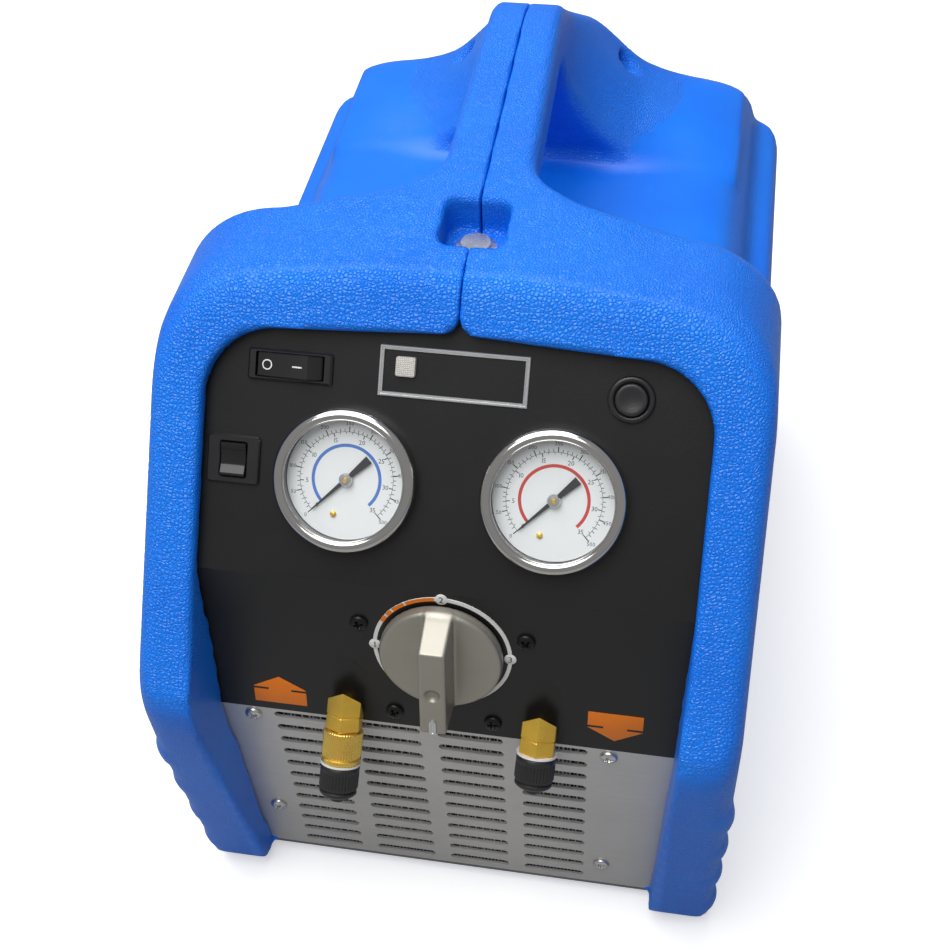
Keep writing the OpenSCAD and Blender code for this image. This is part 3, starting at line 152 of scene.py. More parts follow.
def outline_distance(outline, a, b):
    """Signed distance from the points (a, b) to a closed polygon, negative inside: the least distance
    to any of its sides, with the sign from how many sides a ray along the first axis crosses."""
    a, b = np.broadcast_arrays(a, b)
    nearest = np.full(a.shape, np.inf)
    inside = np.zeros(a.shape, bool)
    for (pa, pb), (qa, qb) in zip(outline, np.roll(outline, -1, 0)):
        length = (qa - pa) ** 2 + (qb - pb) ** 2
        if length < 1e-12:
            continue
        along = np.clip(((a - pa) * (qa - pa) + (b - pb) * (qb - pb)) / length, 0, 1)
        gap_a, gap_b = a - pa - along * (qa - pa), b - pb - along * (qb - pb)
        nearest = np.minimum(nearest, gap_a ** 2 + gap_b ** 2)
        if qb != pb:
            inside ^= ((pb > b) != (qb > b)) & (a < (qa - pa) * (b - pb) / (qb - pb) + pa)
    return np.where(inside, -1, 1) * np.sqrt(nearest)


def meet(a, b, radius):
    """What two distance fields have in common, with the edge between them rounded: where both are
    nearer than the radius, the distance runs round a circle of that radius."""
    return np.minimum(np.maximum(a, b), -radius) + np.hypot(
        np.maximum(a + radius, 0), np.maximum(b + radius, 0))


def join(a, b, radius):
    """Two distance fields together, with a hollow fillet of the radius between them."""
    return -meet(-a, -b, radius)


def skin_of(field, xs, ys, zs):
    """The skin of the region where a field over a box grid is negative. Each cell whose corners
    differ in sign gets one point, at the mean of the crossings on its twelve edges, and each grid
    edge that crosses zero gets one quad through the four cells around it."""
    value = field(xs[:, None, None], ys[None, :, None], zs[None, None, :])
    value = np.broadcast_to(value, (len(xs), len(ys), len(zs)))
    inside = value < 0
    corners = np.array([[i, j, k] for i in (0, 1) for j in (0, 1) for k in (0, 1)])
    shape = tuple(n - 1 for n in inside.shape)
    count = sum(inside[i:i + shape[0], j:j + shape[1], k:k + shape[2]].astype(np.int8)
                for i, j, k in corners)
    cells = np.argwhere((count > 0) & (count < 8))
    number = np.full(shape, -1)
    number[tuple(cells.T)] = np.arange(len(cells))
    lines = [np.stack([line[cells[:, n] + step] for step in (0, 1)])
             for n, line in enumerate((xs, ys, zs))]
    total, crossings = np.zeros((len(cells), 3)), np.zeros((len(cells), 1))
    for first in corners:
        for axis in np.flatnonzero(first == 0):
            last = first + np.eye(3, dtype=int)[axis]
            f0, f1 = value[tuple((cells + first).T)], value[tuple((cells + last).T)]
            crosses = (f0 < 0) != (f1 < 0)
            share = np.where(crosses, f0 / np.where(crosses, f0 - f1, 1), 0)
            p0 = np.stack([lines[n][first[n]] for n in range(3)], 1)
            p1 = np.stack([lines[n][last[n]] for n in range(3)], 1)
            total += np.where(crosses[:, None], p0 + share[:, None] * (p1 - p0), 0)
            crossings += crosses[:, None]
    quads = []
    for axis in range(3):
        u, v = (axis + 1) % 3, (axis + 2) % 3
        low, high = [slice(None)] * 3, [slice(None)] * 3
        low[axis], high[axis] = slice(None, -1), slice(1, None)
        edges = np.argwhere(inside[tuple(low)] != inside[tuple(high)])
        edges = edges[(edges[:, u] > 0) & (edges[:, v] > 0)
                      & (edges[:, u] < shape[u]) & (edges[:, v] < shape[v])]
        ring = []
        for du, dv in ((1, 1), (0, 1), (0, 0), (1, 0)):
            cell = edges.copy()
            cell[:, u] -= du
            cell[:, v] -= dv
            ring.append(number[tuple(cell.T)])
        quad = np.stack(ring, 1)
        falls = inside[tuple(edges.T)]
        quads.append(np.where(falls[:, None], quad, quad[:, ::-1]))
    return total / crossings, np.concatenate(quads)


def add_piece(name, points, faces, material, body, slot, replaces=(), weld=False, crease=180):
    """Puts points in metres and faces into a mesh object that rides on a body. A welded piece has its
    doubled seams and poles merged and its faces turned outwards."""
    mesh = bpy.data.meshes.new(name)
    mesh.from_pydata(np.asarray(points).tolist(), [], [list(map(int, face)) for face in faces])
    if weld:
        work = bmesh.new()
        work.from_mesh(mesh)
        bmesh.ops.remove_doubles(work, verts=work.verts, dist=2e-6)
        bmesh.ops.dissolve_degenerate(work, edges=work.edges, dist=1e-7)
        bmesh.ops.recalc_face_normals(work, faces=work.faces)
        work.to_mesh(mesh)
        work.free()
    mesh.polygons.foreach_set("use_smooth", np.ones(len(mesh.polygons), bool))
    if crease < 180:
        mesh.set_sharp_from_angle(angle=math.radians(crease))
    mesh.materials.append(material)
    mesh.update()
    piece = bpy.data.objects.new(name, mesh)
    scene.collection.objects.link(piece)
    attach(piece, body)
    if replaces:
        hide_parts(*replaces)
    return piece


wall, rear_wall_extra, rear_wall_start, rear_wall_run = 5.0, 3.5, 140, 20
fold_y, fold_z = -156.243, 209.5
face_sin, face_cos = 0.61429, 0.78908
half_width, nose_y, nose_z = 125, -201.53, 165
chin_cos, chin_sin = 0.98622, 0.16540
crown_half, crown_fall, crown_fade = 30, 0.006, 30
side_outline = rounded_outline(
    [(-174.53, 4), (200, 4), (200, 213), (-42.42, 213), (-42.42, 318), (-82.42, 318), (nose_y, nose_z)],
    [10, 12, 14, 8, 4, 22, 26])
front_outline = rounded_outline(
    [(-half_width, 4), (half_width, 4), (half_width, 307), (crown_half, 318), (-crown_half, 318),
     (-half_width, 307)],
    [8, 8, 45, 200, 200, 45], 14)
plan_outline = rounded_outline(
    [(-half_width, nose_y), (half_width, nose_y), (half_width, 200), (-half_width, 200)],
    [18, 18, 24, 24])
deck_side = rounded_outline([(-70.42, 183), (192, 183), (192, 245), (-70.42, 245)], [0, 0, 24, 0])
deck_front = rounded_outline([(-109, 183), (109, 183), (109, 245), (-109, 245)], [0, 0, 30, 30], 12)
body_round, plan_round, deck_round, deck_fillet = 11, 6, 8, 9
swell_height, swell_width, swell_start, swell_run, swell_end, swell_fade = 18, 66, 96, 48, 198, 30
handle_side = rounded_outline(
    [(-67.42, 296), (-42.42, 296), (92, 304), (100, 237), (176, 237), (176, 245), (166, 283), (92, 330),
     (68, 330), (-42.42, 318), (-67.42, 311)], [0, 0, 16, 0, 0, 0, 34, 40, 30, 0, 0], 12)
handle_plan = rounded_outline(
    [(-80, -67), (80, -67), (80, -44), (44, -41), (19, -24), (14.5, 178), (-14.5, 178), (-19, -24),
     (-44, -41), (-80, -44)], [0, 0, 0, 40, 20, 0, 0, 20, 40, 0], 12)
handle_round, handle_fillet, pillar_fillet, pillar_start = 5.5, 10, 3, 84
pillar_front = rounded_outline(
    [(-100, 225), (100, 225), (100, 237), (14.5, 237), (14.5, 345), (-14.5, 345), (-14.5, 237),
     (-100, 237)], [0, 0, 0, 75, 0, 0, 75, 0], 16)
lobe_heights, lobe_radius, lobe_half_height = (120.0, 88.5, 56.0, 22.5), 9.5, 18.5
opening_y, opening_z = (-162.15, -169.166, fold_y, -62.4), (0, 133.897, fold_z, 330)
opening_half, opening_foot_half, opening_rise, opening_bow, opening_radius = 100, 93.5, 98, 5, 27
opening_lean, bow_lean = 0.85, 0.9988
pocket_y, pocket_half, pocket_floor, pocket_round, pocket_edge = -55.42, 13, 302, 5, 1.6
access_y, access_z, access_radius, access_depth, access_edge = 154, 265, 5.5, 8, 1.4
rear_half, rear_face, rear_z, rear_half_height, rear_round = 92, 190, 107.5, 82.5, 12
floor_half, floor_front, floor_back, floor_top = 107, -144.6, 182, 12
half_gap, seam_round, rim_start, rim_corner = 0.1, 0.8, 250, 7


def right_half(x, y, z):
    """Signed distance to the right half of the casing. The body is what its side, front and plan
    outlines have in common, the deck, which swells round the pillar, joins it by a fillet, and a
    wall's thickness of that is kept. The legs' lobes join the body, and the handle, whose wings sink
    with the rim's crown and whose pillar flares into the deck, joins the shell. The openings, the
    bolt pocket, the access hole and all left of the parting plane are cut with rounded edges."""
    body = meet(outline_distance(side_outline, y, z), outline_distance(front_outline, x, z), body_round)
    body = meet(body, outline_distance(plan_outline, x, y), plan_round)
    ramp = (np.clip((y - swell_start) / swell_run, 0, 1)
            * np.clip((swell_end - y) / swell_fade, 0, 1))
    low_z = z - swell_height * np.exp(-(x / swell_width) ** 2) * ramp ** 2 * (3 - 2 * ramp)
    deck = meet(outline_distance(deck_side, y, low_z), outline_distance(deck_front, x, low_z),
                deck_round)
    chin = -chin_cos * (y - nose_y) - chin_sin * (z - nose_z)
    corner_x, corner_y = x - (half_width - lobe_radius), -chin - lobe_radius
    for lobe_z in lobe_heights:
        share = np.sqrt((corner_x / lobe_radius) ** 2 + (corner_y / lobe_radius) ** 2
                        + ((z - lobe_z) / lobe_half_height) ** 2)
        body = np.minimum(body, lobe_radius * (share - 1))
    core = join(body, deck, deck_fillet)
    rise = (y - fold_y) * face_sin + (z - fold_z) * face_cos
    ahead = opening_lean * (y - np.interp(z, opening_z, opening_y))
    top = bow_lean * (rise - opening_rise - opening_bow * (1 - x / opening_half))
    lateral = np.maximum(meet(x - opening_half, top, opening_radius),
                         x - opening_foot_half - (opening_half - opening_foot_half) * z / fold_z)
    rear_share = np.clip((y - rear_wall_start) / rear_wall_run, 0, 1)
    cavity = np.maximum(core + wall + rear_wall_extra * rear_share, -np.maximum(lateral - wall, ahead))
    shell = np.maximum(core, -cavity)
    pillar = np.maximum(outline_distance(pillar_front, x, low_z), pillar_start - y)
    across = join(outline_distance(handle_plan, x, y), pillar, pillar_fillet)
    crown_z = z + crown_fall * np.maximum(x - crown_half, 0) ** 2 * np.clip(-y / crown_fade, 0, 1)
    handle = meet(outline_distance(handle_side, y, crown_z), across, handle_round)
    shell = join(shell, handle, handle_fillet)
    pocket = meet(np.abs(x) - pocket_half, np.abs(y - pocket_y) - pocket_half, pocket_round)
    shell = meet(shell, -np.maximum(pocket, pocket_floor - z), pocket_edge)
    access = np.maximum(np.hypot(y - access_y, z - access_z) - access_radius, access_depth - x)
    shell = meet(shell, -access, access_edge)
    rear = meet(x - rear_half, np.abs(z - rear_z) - rear_half_height, rear_round)
    rear = np.maximum(rear, rear_face - y)
    floor = np.maximum(np.maximum(x - floor_half, np.maximum(floor_front - y, y - floor_back)),
                       z - floor_top)
    shell = np.maximum(np.maximum(shell, -rear), -floor)
    opening = np.maximum(lateral, ahead)
    parting = half_gap - x
    corner = np.where(z > rim_start, meet(parting, -opening, rim_corner), np.maximum(parting, -opening))
    return meet(shell, corner, seam_round)


half_points, half_faces = skin_of(
    right_half,
    np.concatenate([[-0.5, 0.3, 0.8, 1.5, 2.4], np.arange(3.6, 22, 1.5), np.arange(22.4, 129, 2.4)]),
    np.concatenate([np.arange(-204, -34, 2.1), np.arange(-33.5, 204, 2.75)]),
    np.arange(1.2, 336, 2.25))

casing_blue, shader, place = new_finish("casing_blue")
front_share = place.node("ShaderNodeAttribute", {"attribute_name": "pebble"}, out="Fac")
grain_share = place.node("ShaderNodeAttribute", {"attribute_name": "grain"}, out="Fac")
bent = place.node("ShaderNodeVectorMath", {"operation": "MULTIPLY_ADD"}, {
    0: place.node("ShaderNodeTexNoise", {}, {"Vector": place, "Scale": 500.0, "Detail": 1.0}, "Color"),
    1: (0.0003, 0.0003, 0.0003), 2: place})
pebbles, fine_grain = (
    bent.node("ShaderNodeTexVoronoi", {"feature": "DISTANCE_TO_EDGE"},
              {"Vector": bent, "Scale": scale, "Randomness": 0.85}).held(0.0, 0.42)
    for scale in (640.0, 820.0))
pebbles, fine_grain = pebbles * (2 - pebbles), fine_grain * (2 - fine_grain)
grain_height = pebbles * front_share + fine_grain * (1 - front_share) * 0.85
drift = place.noise(22.0, 3.0)
# The base colour mixes a random drift with the pebbles' height on the front: the pebbles' tops are painted
# lighter and the grooves between them darker. This is painted light and shade on the grain.
dress(shader, {
    "Base Color": (drift.held(0.3, 0.7) * 0.5 + pebbles * front_share * 0.5).blend(
        (0.0, 0.155, 0.80), (0.004, 0.215, 0.90)),
    "Roughness": 0.29 + 0.10 * drift - 0.08 * pebbles * front_share,
    "Specular IOR Level": 0.42,
    "Normal": place.relief(grain_height * grain_share, 0.0004, 0.8)})

x, y, z = half_points.T
rim_depth, pebble_start, pebble_fade = -4.5, 118, 25
deck_y, deck_top = -40, 250
for side, sign in (("left", -1), ("right", 1)):
    piece = add_piece(
        "casing_half_" + side, half_points * (0.001 * sign, 0.001, 0.001), half_faces[:, ::sign],
        casing_blue, "casing", "casing_blue", ["casing_" + side])
    mesh = piece.data
    normals = np.zeros(len(mesh.vertices) * 3)
    mesh.vertex_normals.foreach_get("vector", normals)
    normals = normals.reshape(-1, 3)
    to_front = np.clip((normals[:, 2] * face_sin - normals[:, 1] * face_cos - 0.35) / 0.4, 0, 1)
    depth = (y - fold_y) * face_cos - (z - fold_z) * face_sin
    outside = np.clip((rim_depth - depth) / 2.0, 0, 1)
    pebble = to_front * np.clip((z - pebble_start) / pebble_fade, 0, 1) * outside
    deck = np.clip((normals[:, 2] - 0.6) / 0.3, 0, 1) * (z < deck_top) * (y > deck_y)
    inner = (x < 99) & (depth > -6) & (y < deck_y) & (z < 300)
    grain = np.where(inner, 0.1, 1 - 0.85 * deck)
    for label, values in (("pebble", pebble), ("grain", grain)):
        attribute = mesh.attributes.new(label, "FLOAT", "POINT")
        attribute.data.foreach_set("value", values.astype(np.float32))


# ---- Handle bolt, washer and pillar bolt ----
# Zinc-plated machine screws and a turned washer. The handle's bolt stands in the square pocket, and
# the pillar's bolt runs across behind the access holes.
def plain_finish(name, colour, roughness, metallic=0.0, shade=0.75, mottle=0.1, patch=60.0, grain=1800.0,
                 depth=0.00003, stretch=(1.0, 1.0, 1.0), **fixed):
    """A finish whose colour falls towards shade times itself and whose roughness shifts by mottle
    with a soft patchy noise, and whose skin has a fine grain, drawn out along an axis by stretch."""
    material, shader, place = new_finish(name)
    patches = place.noise(patch, 3.0)
    drawn = place.node("ShaderNodeMapping", {}, {"Vector": place, "Scale": stretch})
    fine = drawn.noise(grain, 2.0)
    dress(shader, {
        "Base Color": (patches * 0.6 + fine * 0.4).held(0.3, 0.7).blend(
            [c * shade for c in colour], colour),
        "Roughness": roughness + mottle * (patches * 0.5 + fine * 0.5 - 0.5),
        "Metallic": metallic,
        "Normal": place.relief(fine, depth)})
    dress(shader, fixed)
    return material


def clothe(material, *nodes):
    """Gives CAD nodes, whose shapes are kept, a finish in their material slots."""
    for node in nodes:
        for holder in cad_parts[node].material_slots:
            holder.material = material


bolt_steel = plain_finish("bolt_steel", (0.78, 0.79, 0.80), 0.24, 1.0, patch=300.0, grain=2600.0)
clothe(bolt_steel, "handle_bolt", "handle_washer", "pillar_bolt")

# ---- Control panel ----
# One folded steel sheet, powder-coated satin black. It is clamped behind the rim and carries the
# gauges and switches above the fold, and the valve knob and the two ports below it.
panel_black = plain_finish(
    "panel_black", (0.011, 0.011, 0.011), 0.36, shade=0.8, mottle=0.14, patch=35.0, grain=2200.0,
    depth=0.00004, **{"Specular IOR Level": 0.38})
clothe(panel_black, "control_panel")


def panel_frame(origin, up, out):
    """A frame on the machine: its origin in mm, and rows for its sideways, upward and outward axes."""
    up, out = np.asarray(up, float), np.asarray(out, float)
    up, out = up / np.linalg.norm(up), out / np.linalg.norm(out)
    return np.asarray(origin, float), np.stack([np.cross(up, out), up, out])


def set_on(place, points):
    """Points in a frame, in mm, moved to the machine's frame, in metres."""
    origin, axes = place
    return (origin + np.asarray(points) @ axes) * 0.001


def shifted(points, x, y, z=0.0):
    return np.asarray(points) + (x, y, z)


def turned(points, angle):
    """Points turned by an angle about the outward axis of their frame."""
    c, s = math.cos(angle), math.sin(angle)
    return points @ np.array([[c, s, 0], [-s, c, 0], [0, 0, 1]])


def fit(name, place, spot, shape, material, body, slot, replaces=(), **how):
    """Adds a mesh, drawn in mm, as a piece that stands at the spot (x, y) of a frame."""
    points, faces = shape
    add_piece(name, set_on(place, shifted(points, *spot)), faces, material, body, slot, replaces, **how)


upper = panel_frame((0, fold_y, fold_z), (0, face_sin, face_cos), (0, -face_cos, face_sin))
lower = panel_frame((0, fold_y, fold_z), (0, 0.16849, 0.98570), (0, -0.98570, 0.16849))


def loop(outline, inset, height):
    """A closed outline at a height, with every side moved inwards by the inset: a corner moves by the
    inset times the sum of its two sides' inward normals over one plus their dot product."""
    outline = np.asarray(outline, float)
    ahead = np.roll(outline, -1, 0) - outline
    ahead /= np.linalg.norm(ahead, axis=1, keepdims=True)
    inward = np.stack([-ahead[:, 1], ahead[:, 0]], 1)
    before = np.roll(inward, 1, 0)
    mitre = (inward + before) / (1 + (inward * before).sum(1, keepdims=True))
    return np.column_stack([outline + inset * mitre, np.full(len(outline), float(height))])


def stack(outline, levels):
    """An outline carried through levels of (inset, height), with a flat face on the first and last."""
    return wrapped(np.stack([loop(outline, *level) for level in levels]), True)


def wrapped(points, closed_ends=False):
    """Quads over a grid of points whose columns run round and close, with flat ends if asked."""
    rows, columns = points.shape[:2]
    index = np.arange(rows * columns).reshape(rows, columns)
    beside = np.roll(index, -1, 1)
    faces = np.stack([index[:-1], beside[:-1], beside[1:], index[1:]], -1).reshape(-1, 4).tolist()
    if closed_ends:
        faces += [index[0][::-1].tolist(), index[-1].tolist()]
    return points.reshape(-1, 3), faces


def gathered(parts):
    """Several meshes as one: their points in a row, and their faces with the indices moved on."""
    points, faces, start = [], [], 0
    for part_points, part_faces in parts:
        points.append(np.asarray(part_points, float))
        faces += [[int(i) + start for i in face] for face in part_faces]
        start += len(part_points)
    return np.concatenate(points), faces


def box_outline(width, height, radius, steps=6):
    w, h = width / 2, height / 2
    return rounded_outline([(-w, -h), (w, -h), (w, h), (-w, h)], [radius] * 4, steps)


# ---- Flow arrows ----
# Two orange printed labels beside the ports: the left one points up and the right one down. Each has
# two short dark bars at its shoulders. They are printed film, stuck on the panel.
label_orange = plain_finish(
    "label_orange", (0.85, 0.20, 0.0), 0.40, shade=0.88, patch=120.0, depth=0.00001)
print_black = plain_finish(
    "print_black", (0.012, 0.012, 0.013), 0.5, shade=0.7, patch=200.0, depth=0.00001)
arrow_outline = np.array([(-11.5, -7.8), (11.5, -7.8), (11.5, 1.2), (0, 7.8), (-11.5, 1.2)])
bar_outline = np.array([(5.0, -0.1), (11.5, -0.1), (11.5, 0.9), (5.0, 0.9)])
labels, bars = [], []
for centre_x, drop, way in ((-71.4, 64.8, 1), (72.4, 63.0, -1)):
    points, faces = stack(arrow_outline * way, [(0, 0), (0, 0.12), (0.1, 0.16)])
    labels.append((shifted(points, centre_x, -drop), faces))
    for shift in (0.0, -16.5):
        points, faces = stack((bar_outline + (shift, 0)) * way, [(0, 0.14), (0, 0.24)])
        bars.append((shifted(points, centre_x, -drop), faces))
fit("flow_arrows", lower, (0, 0), gathered(labels), label_orange, "casing", "white_print",
    crease=30)
fit("flow_arrow_bars", lower, (0, 0), gathered(bars), print_black, "casing", "panel_black",
    crease=30)


# ---- Screws ----
# Cross-recess pan-head steel screws, blackened on the panel and bright on the grille below it. Each
# head is a low dome with a tapering cross pressed into it.
head_radius, dome_radius, dome_drop = 3.8, 6.5, 4.1
groove_half, groove_reach, groove_floor, groove_level = 0.34, 1.5, 0.7, 0.6


def pan_head(x, y, z):
    """Signed distance to a screw's head: a dome with a rounded rim over a short shank, with two
    crossed grooves that narrow as they go down."""
    r = np.hypot(x, y)
    dome = np.sqrt(r ** 2 + (z + dome_drop) ** 2) - dome_radius
    head = meet(meet(r - head_radius, dome, 0.5), -z, 0.15)
    wide = groove_half + 0.24 * (z - groove_level)
    reach = groove_reach + 0.55 * (z - groove_level)
    groove = np.minimum(np.maximum(np.abs(x) - wide, np.abs(y) - reach),
                        np.maximum(np.abs(y) - wide, np.abs(x) - reach))
    groove = np.maximum(np.minimum(groove, r - 0.75), groove_floor - z)
    return meet(head, -groove, 0.12)


screw_line = np.arange(-4.1, 4.11, 0.2)
head_points, head_faces = skin_of(pan_head, screw_line, screw_line, np.arange(-0.3, 2.9, 0.2))
screw_black = plain_finish("screw_black", (0.018, 0.018, 0.019), 0.32, 0.6, patch=300.0, grain=2500.0)
screw_silver = plain_finish(
    "screw_silver", (0.74, 0.74, 0.73), 0.30, 1.0, shade=0.7, patch=260.0, grain=2500.0)
grille = panel_frame((0, -169.166, 133.897), (0, -0.05234, 0.99863), (0, -0.99863, -0.05234))


def screw_row(name, place, spots, turns, material, slot, node):
    heads = [(shifted(turned(head_points, turn), x, -drop), head_faces)
             for (x, drop), turn in zip(spots, turns)]
    fit(name, place, (0, 0), gathered(heads), material, "casing", slot, [node])


screw_row("panel_screw_heads", lower, [(-34.4, 20.3), (34.4, 20.3), (-21.1, 68.7), (21.1, 68.7)],
          (0.3, 0.9, 0.5, 0.1), screw_black, "black_steel", "panel_screws")
screw_row("grille_screw_heads", grille, [(-85, 5.2), (70.6, 5.2), (-85.4, 87), (69.8, 104.3)],
          (0.5, 0.2, 0.75, 0.4), screw_silver, "bolt_steel", "grille_screws")

# ---- Grille ----
# A punched aluminium sheet with rows of long slots, satin silver. It hangs below the black panel,
# and the condenser's fins show through its slots.
grille_silver = plain_finish(
    "grille_silver", (0.63, 0.62, 0.60), 0.40, 0.5, shade=0.86, patch=18.0, grain=900.0, depth=0.00002,
    stretch=(0.12, 1.0, 1.0))
clothe(grille_silver, "lower_grille")
fin_aluminium, shader, place = new_finish("fin_aluminium")
fins = place.node("ShaderNodeTexWave", {"bands_direction": "X"}, {"Vector": place, "Scale": 185.0})
# The base colour runs in bands with the fins: bright aluminium on the fins and near black between them.
# The dark bands are painted shade in the gaps between the fins.
dress(shader, {
    "Base Color": (fins * 0.85 + place.noise(90.0) * 0.15).held(0.25, 0.9).blend(
        (0.03, 0.03, 0.035), (0.80, 0.81, 0.82)),
    "Roughness": 0.34 + 0.1 * place.noise(240.0), "Metallic": 0.5, "Normal": place.relief(fins, 0.0006)})
clothe(fin_aluminium, "condenser_core")

# ---- Power switch ----
# A snap-in rocker switch of black nylon: a bevelled frame, and a rocker with an O and a dash printed
# in white on its broad faces.
black_plastic = plain_finish(
    "black_plastic", (0.016, 0.016, 0.017), 0.30, patch=80.0, grain=3000.0, depth=0.00001)
white_print = plain_finish(
    "white_print", (0.80, 0.80, 0.78), 0.45, shade=0.9, patch=200.0, depth=0.00001)
switch_spot = (-66.5, 84.8)
outer, inner = box_outline(34, 12.6, 1.2), box_outline(27.8, 10.0, 0.6)


def ring_of(rings):
    """A hollow frame: its closed outlines in turn, each moved inwards by an inset at a height."""
    return wrapped(np.stack([loop(*ring) for ring in rings]))


fit("switch_surround", upper, switch_spot,
    ring_of([(outer, 0, 0), (outer, 0, 1.2), (outer, 0.8, 2.0), (inner, 0, 2.0), (inner, 0.1, 0.8),
             (inner, 0.1, -8), (outer, 0, 0)]),
    black_plastic, "casing", "black_plastic", ["switch_frame"], weld=True, crease=30)
face_end, face_rise, face_run = -13.1, 2.7, 20.7
rocker_side = rounded_outline(
    [(-12.9, -2.6), (-7, -7), (7, -7), (12.7, -3.0), (13.1, 1.0), (7.6, 4.6), (face_end, 1.9)],
    [0.5, 1, 1, 0.5, 0.5, 0.9, 0.5], 4)
points, faces = stack(rocker_side, [(0.35, -4.75), (0, -4.4), (0, 4.4), (0.35, 4.75)])
points = np.column_stack([points[:, 0], -points[:, 2], points[:, 1]])
fit("rocker_paddle", upper, switch_spot, (points, faces), black_plastic, "rocker", "black_plastic",
    ["switch_rocker"], crease=30)


def lathe(profile, turns=96, ribs=0, depths=0.0):
    """A profile of (radius, height) carried round the axis of a frame. Where there are ribs, the
    radius dips between them by a depth, given for each point of the profile, times a cosine wave."""
    profile = np.asarray(profile, float)
    angle = np.linspace(0, 2 * np.pi, turns, endpoint=False)
    wave = 0.5 - 0.5 * np.cos(ribs * angle)
    radius = profile[:, :1] - np.reshape(depths, (-1, 1)) * wave
    height = np.broadcast_to(profile[:, 1:], radius.shape)
    return wrapped(np.stack([radius * np.cos(angle), radius * np.sin(angle), height], -1))


def flat_ring(radius, width, height, turns=40):
    """A flat printed ring with a thin raised edge."""
    hole = radius - width
    return lathe([(hole, 0), (hole, height), (radius, height), (radius, 0), (hole, 0)], turns)


slope = math.atan2(face_rise, face_run)
c, s = math.cos(slope), math.sin(slope)
tilt = np.array([[c, 0, s], [0, 1, 0], [-s, 0, c]])
mark_height, face_start = 0.08, 1.93
dash = np.array([(-2.0, -0.3), (2.0, -0.3), (2.0, 0.3), (-2.0, 0.3)])
marks = []
for x, (points, faces) in (
        (-9.0, flat_ring(2.1, 0.5, mark_height)), (3.5, stack(dash, [(0, 0), (0, mark_height)]))):
    marks.append((shifted(points @ tilt, x, 0, face_start + (x - face_end) * math.tan(slope)), faces))
fit("rocker_marks", upper, switch_spot, gathered(marks), white_print, "rocker", "white_print",
    weld=True, crease=30)

# ---- Indicator field ----
# A plated border with mitred corners, stuck on the panel round a plain black field, and a square
# frosted lens with a fine grid in it, over a lamp.
trim_silver = plain_finish(
    "trim_silver", (0.66, 0.67, 0.68), 0.28, 0.85, shade=0.94, mottle=0.05, patch=40.0, depth=0.000003)
border_spot, window_spot = (-1.6, 86.6), (-20.5, 88.6)
border = np.array([(-29.5, -10), (29.5, -10), (29.5, 10), (-29.5, 10)])
border_levels = [(0, 0), (0, 0.6), (0.2, 0.8), (0.8, 0.8), (0.95, 0.45), (1.25, 0.45), (1.4, 0.7),
                 (1.7, 0.7), (1.8, 0.5), (1.8, 0), (0, 0)]
fit("indicator_border", upper, border_spot, ring_of([(border, *level) for level in border_levels]),
    trim_silver, "casing", "grille_silver", ["indicator_frame"], weld=True, crease=30)
frosted_lens, shader, place = new_finish("frosted_lens")
rows = place.node("ShaderNodeTexWave", {"bands_direction": "X"}, {"Vector": place, "Scale": 420.0})
columns = place.node("ShaderNodeTexWave", {"bands_direction": "Z"}, {"Vector": place, "Scale": 530.0})
dress(shader, {
    "Base Color": (rows * columns).held(0.0, 0.7).blend((0.55, 0.52, 0.47), (0.86, 0.84, 0.79)),
    "Roughness": 0.32 + 0.1 * place.noise(300.0), "Subsurface Weight": 0.2,
    "Subsurface Radius": (0.002, 0.002, 0.002), "Normal": place.relief(rows * columns, 0.0002)})
fit("indicator_window", upper, window_spot,
    stack(box_outline(7.8, 7.8, 0.8), [(0, 0), (0, 1.7), (0.2, 2.2), (0.7, 2.4)]),
    frosted_lens, "casing", "frosted_lens", ["indicator_lens"], crease=40)

# ---- Start button ----
# A round black push button with a dished top, in a turned bezel with a rounded shoulder. Both are
# moulded plastic, and the bezel's neck is clamped in a hole of the panel.
start_spot = (67.6, 83.8)
fit("start_surround", upper, start_spot,
    lathe([(6.55, -6), (7.6, -6), (7.6, 0), (9.2, 0), (9.2, 0.7), (8.9, 1.3), (8.3, 1.6), (7.4, 1.6),
           (6.9, 1.4), (6.55, 1.0), (6.55, -6)]),
    black_plastic, "casing", "black_plastic", ["start_bezel"], weld=True, crease=40)
button_black = plain_finish("button_black", (0.022, 0.022, 0.024), 0.36, patch=120.0, grain=2600.0)
fit("start_push", upper, start_spot,
    lathe([(0, -8), (6.3, -8), (6.3, 2.3), (6.1, 2.8), (5.6, 3.0), (4.6, 2.95), (3.2, 2.6), (0, 2.35)]),
    button_black, "start_button", "button_grey", ["start_button"], weld=True, crease=50)

# ---- Circuit breaker ----
# A resettable breaker moulded in black plastic and snapped into the panel: a square plate, and a
# polished button whose face is hollowed from end to end, so that its lower end shines.
breaker_spot = (-87.6, 45.8)
plate, hollow = box_outline(21.4, 19.4, 1.6), box_outline(10.9, 14.1, 0.8)
fit("breaker_plate", upper, breaker_spot,
    ring_of([(plate, 0, 0), (plate, 0, 1.0), (plate, 0.5, 1.6), (hollow, -0.4, 1.6), (hollow, 0, 1.2),
             (hollow, 0, -8), (plate, 0, 0)]),
    black_plastic, "casing", "black_plastic", ["breaker_body"], weld=True, crease=30)
breaker_black = plain_finish(
    "breaker_black", (0.012, 0.012, 0.013), 0.10, mottle=0.05, patch=90.0, depth=0.000004)
hollow_half, hollow_low, hollow_depth = 5.7, 1.5, 1.3
hollow_y = np.linspace(hollow_half, -hollow_half, 15)
hollow_z = hollow_low + hollow_depth * (hollow_y / hollow_half) ** 2
reset_side = np.concatenate([
    [(-6.7, -6), (6.7, -6), (6.7, 2.3), (6.4, 2.7)], np.column_stack([hollow_y, hollow_z]),
    [(-6.4, 2.7), (-6.7, 2.3)]])
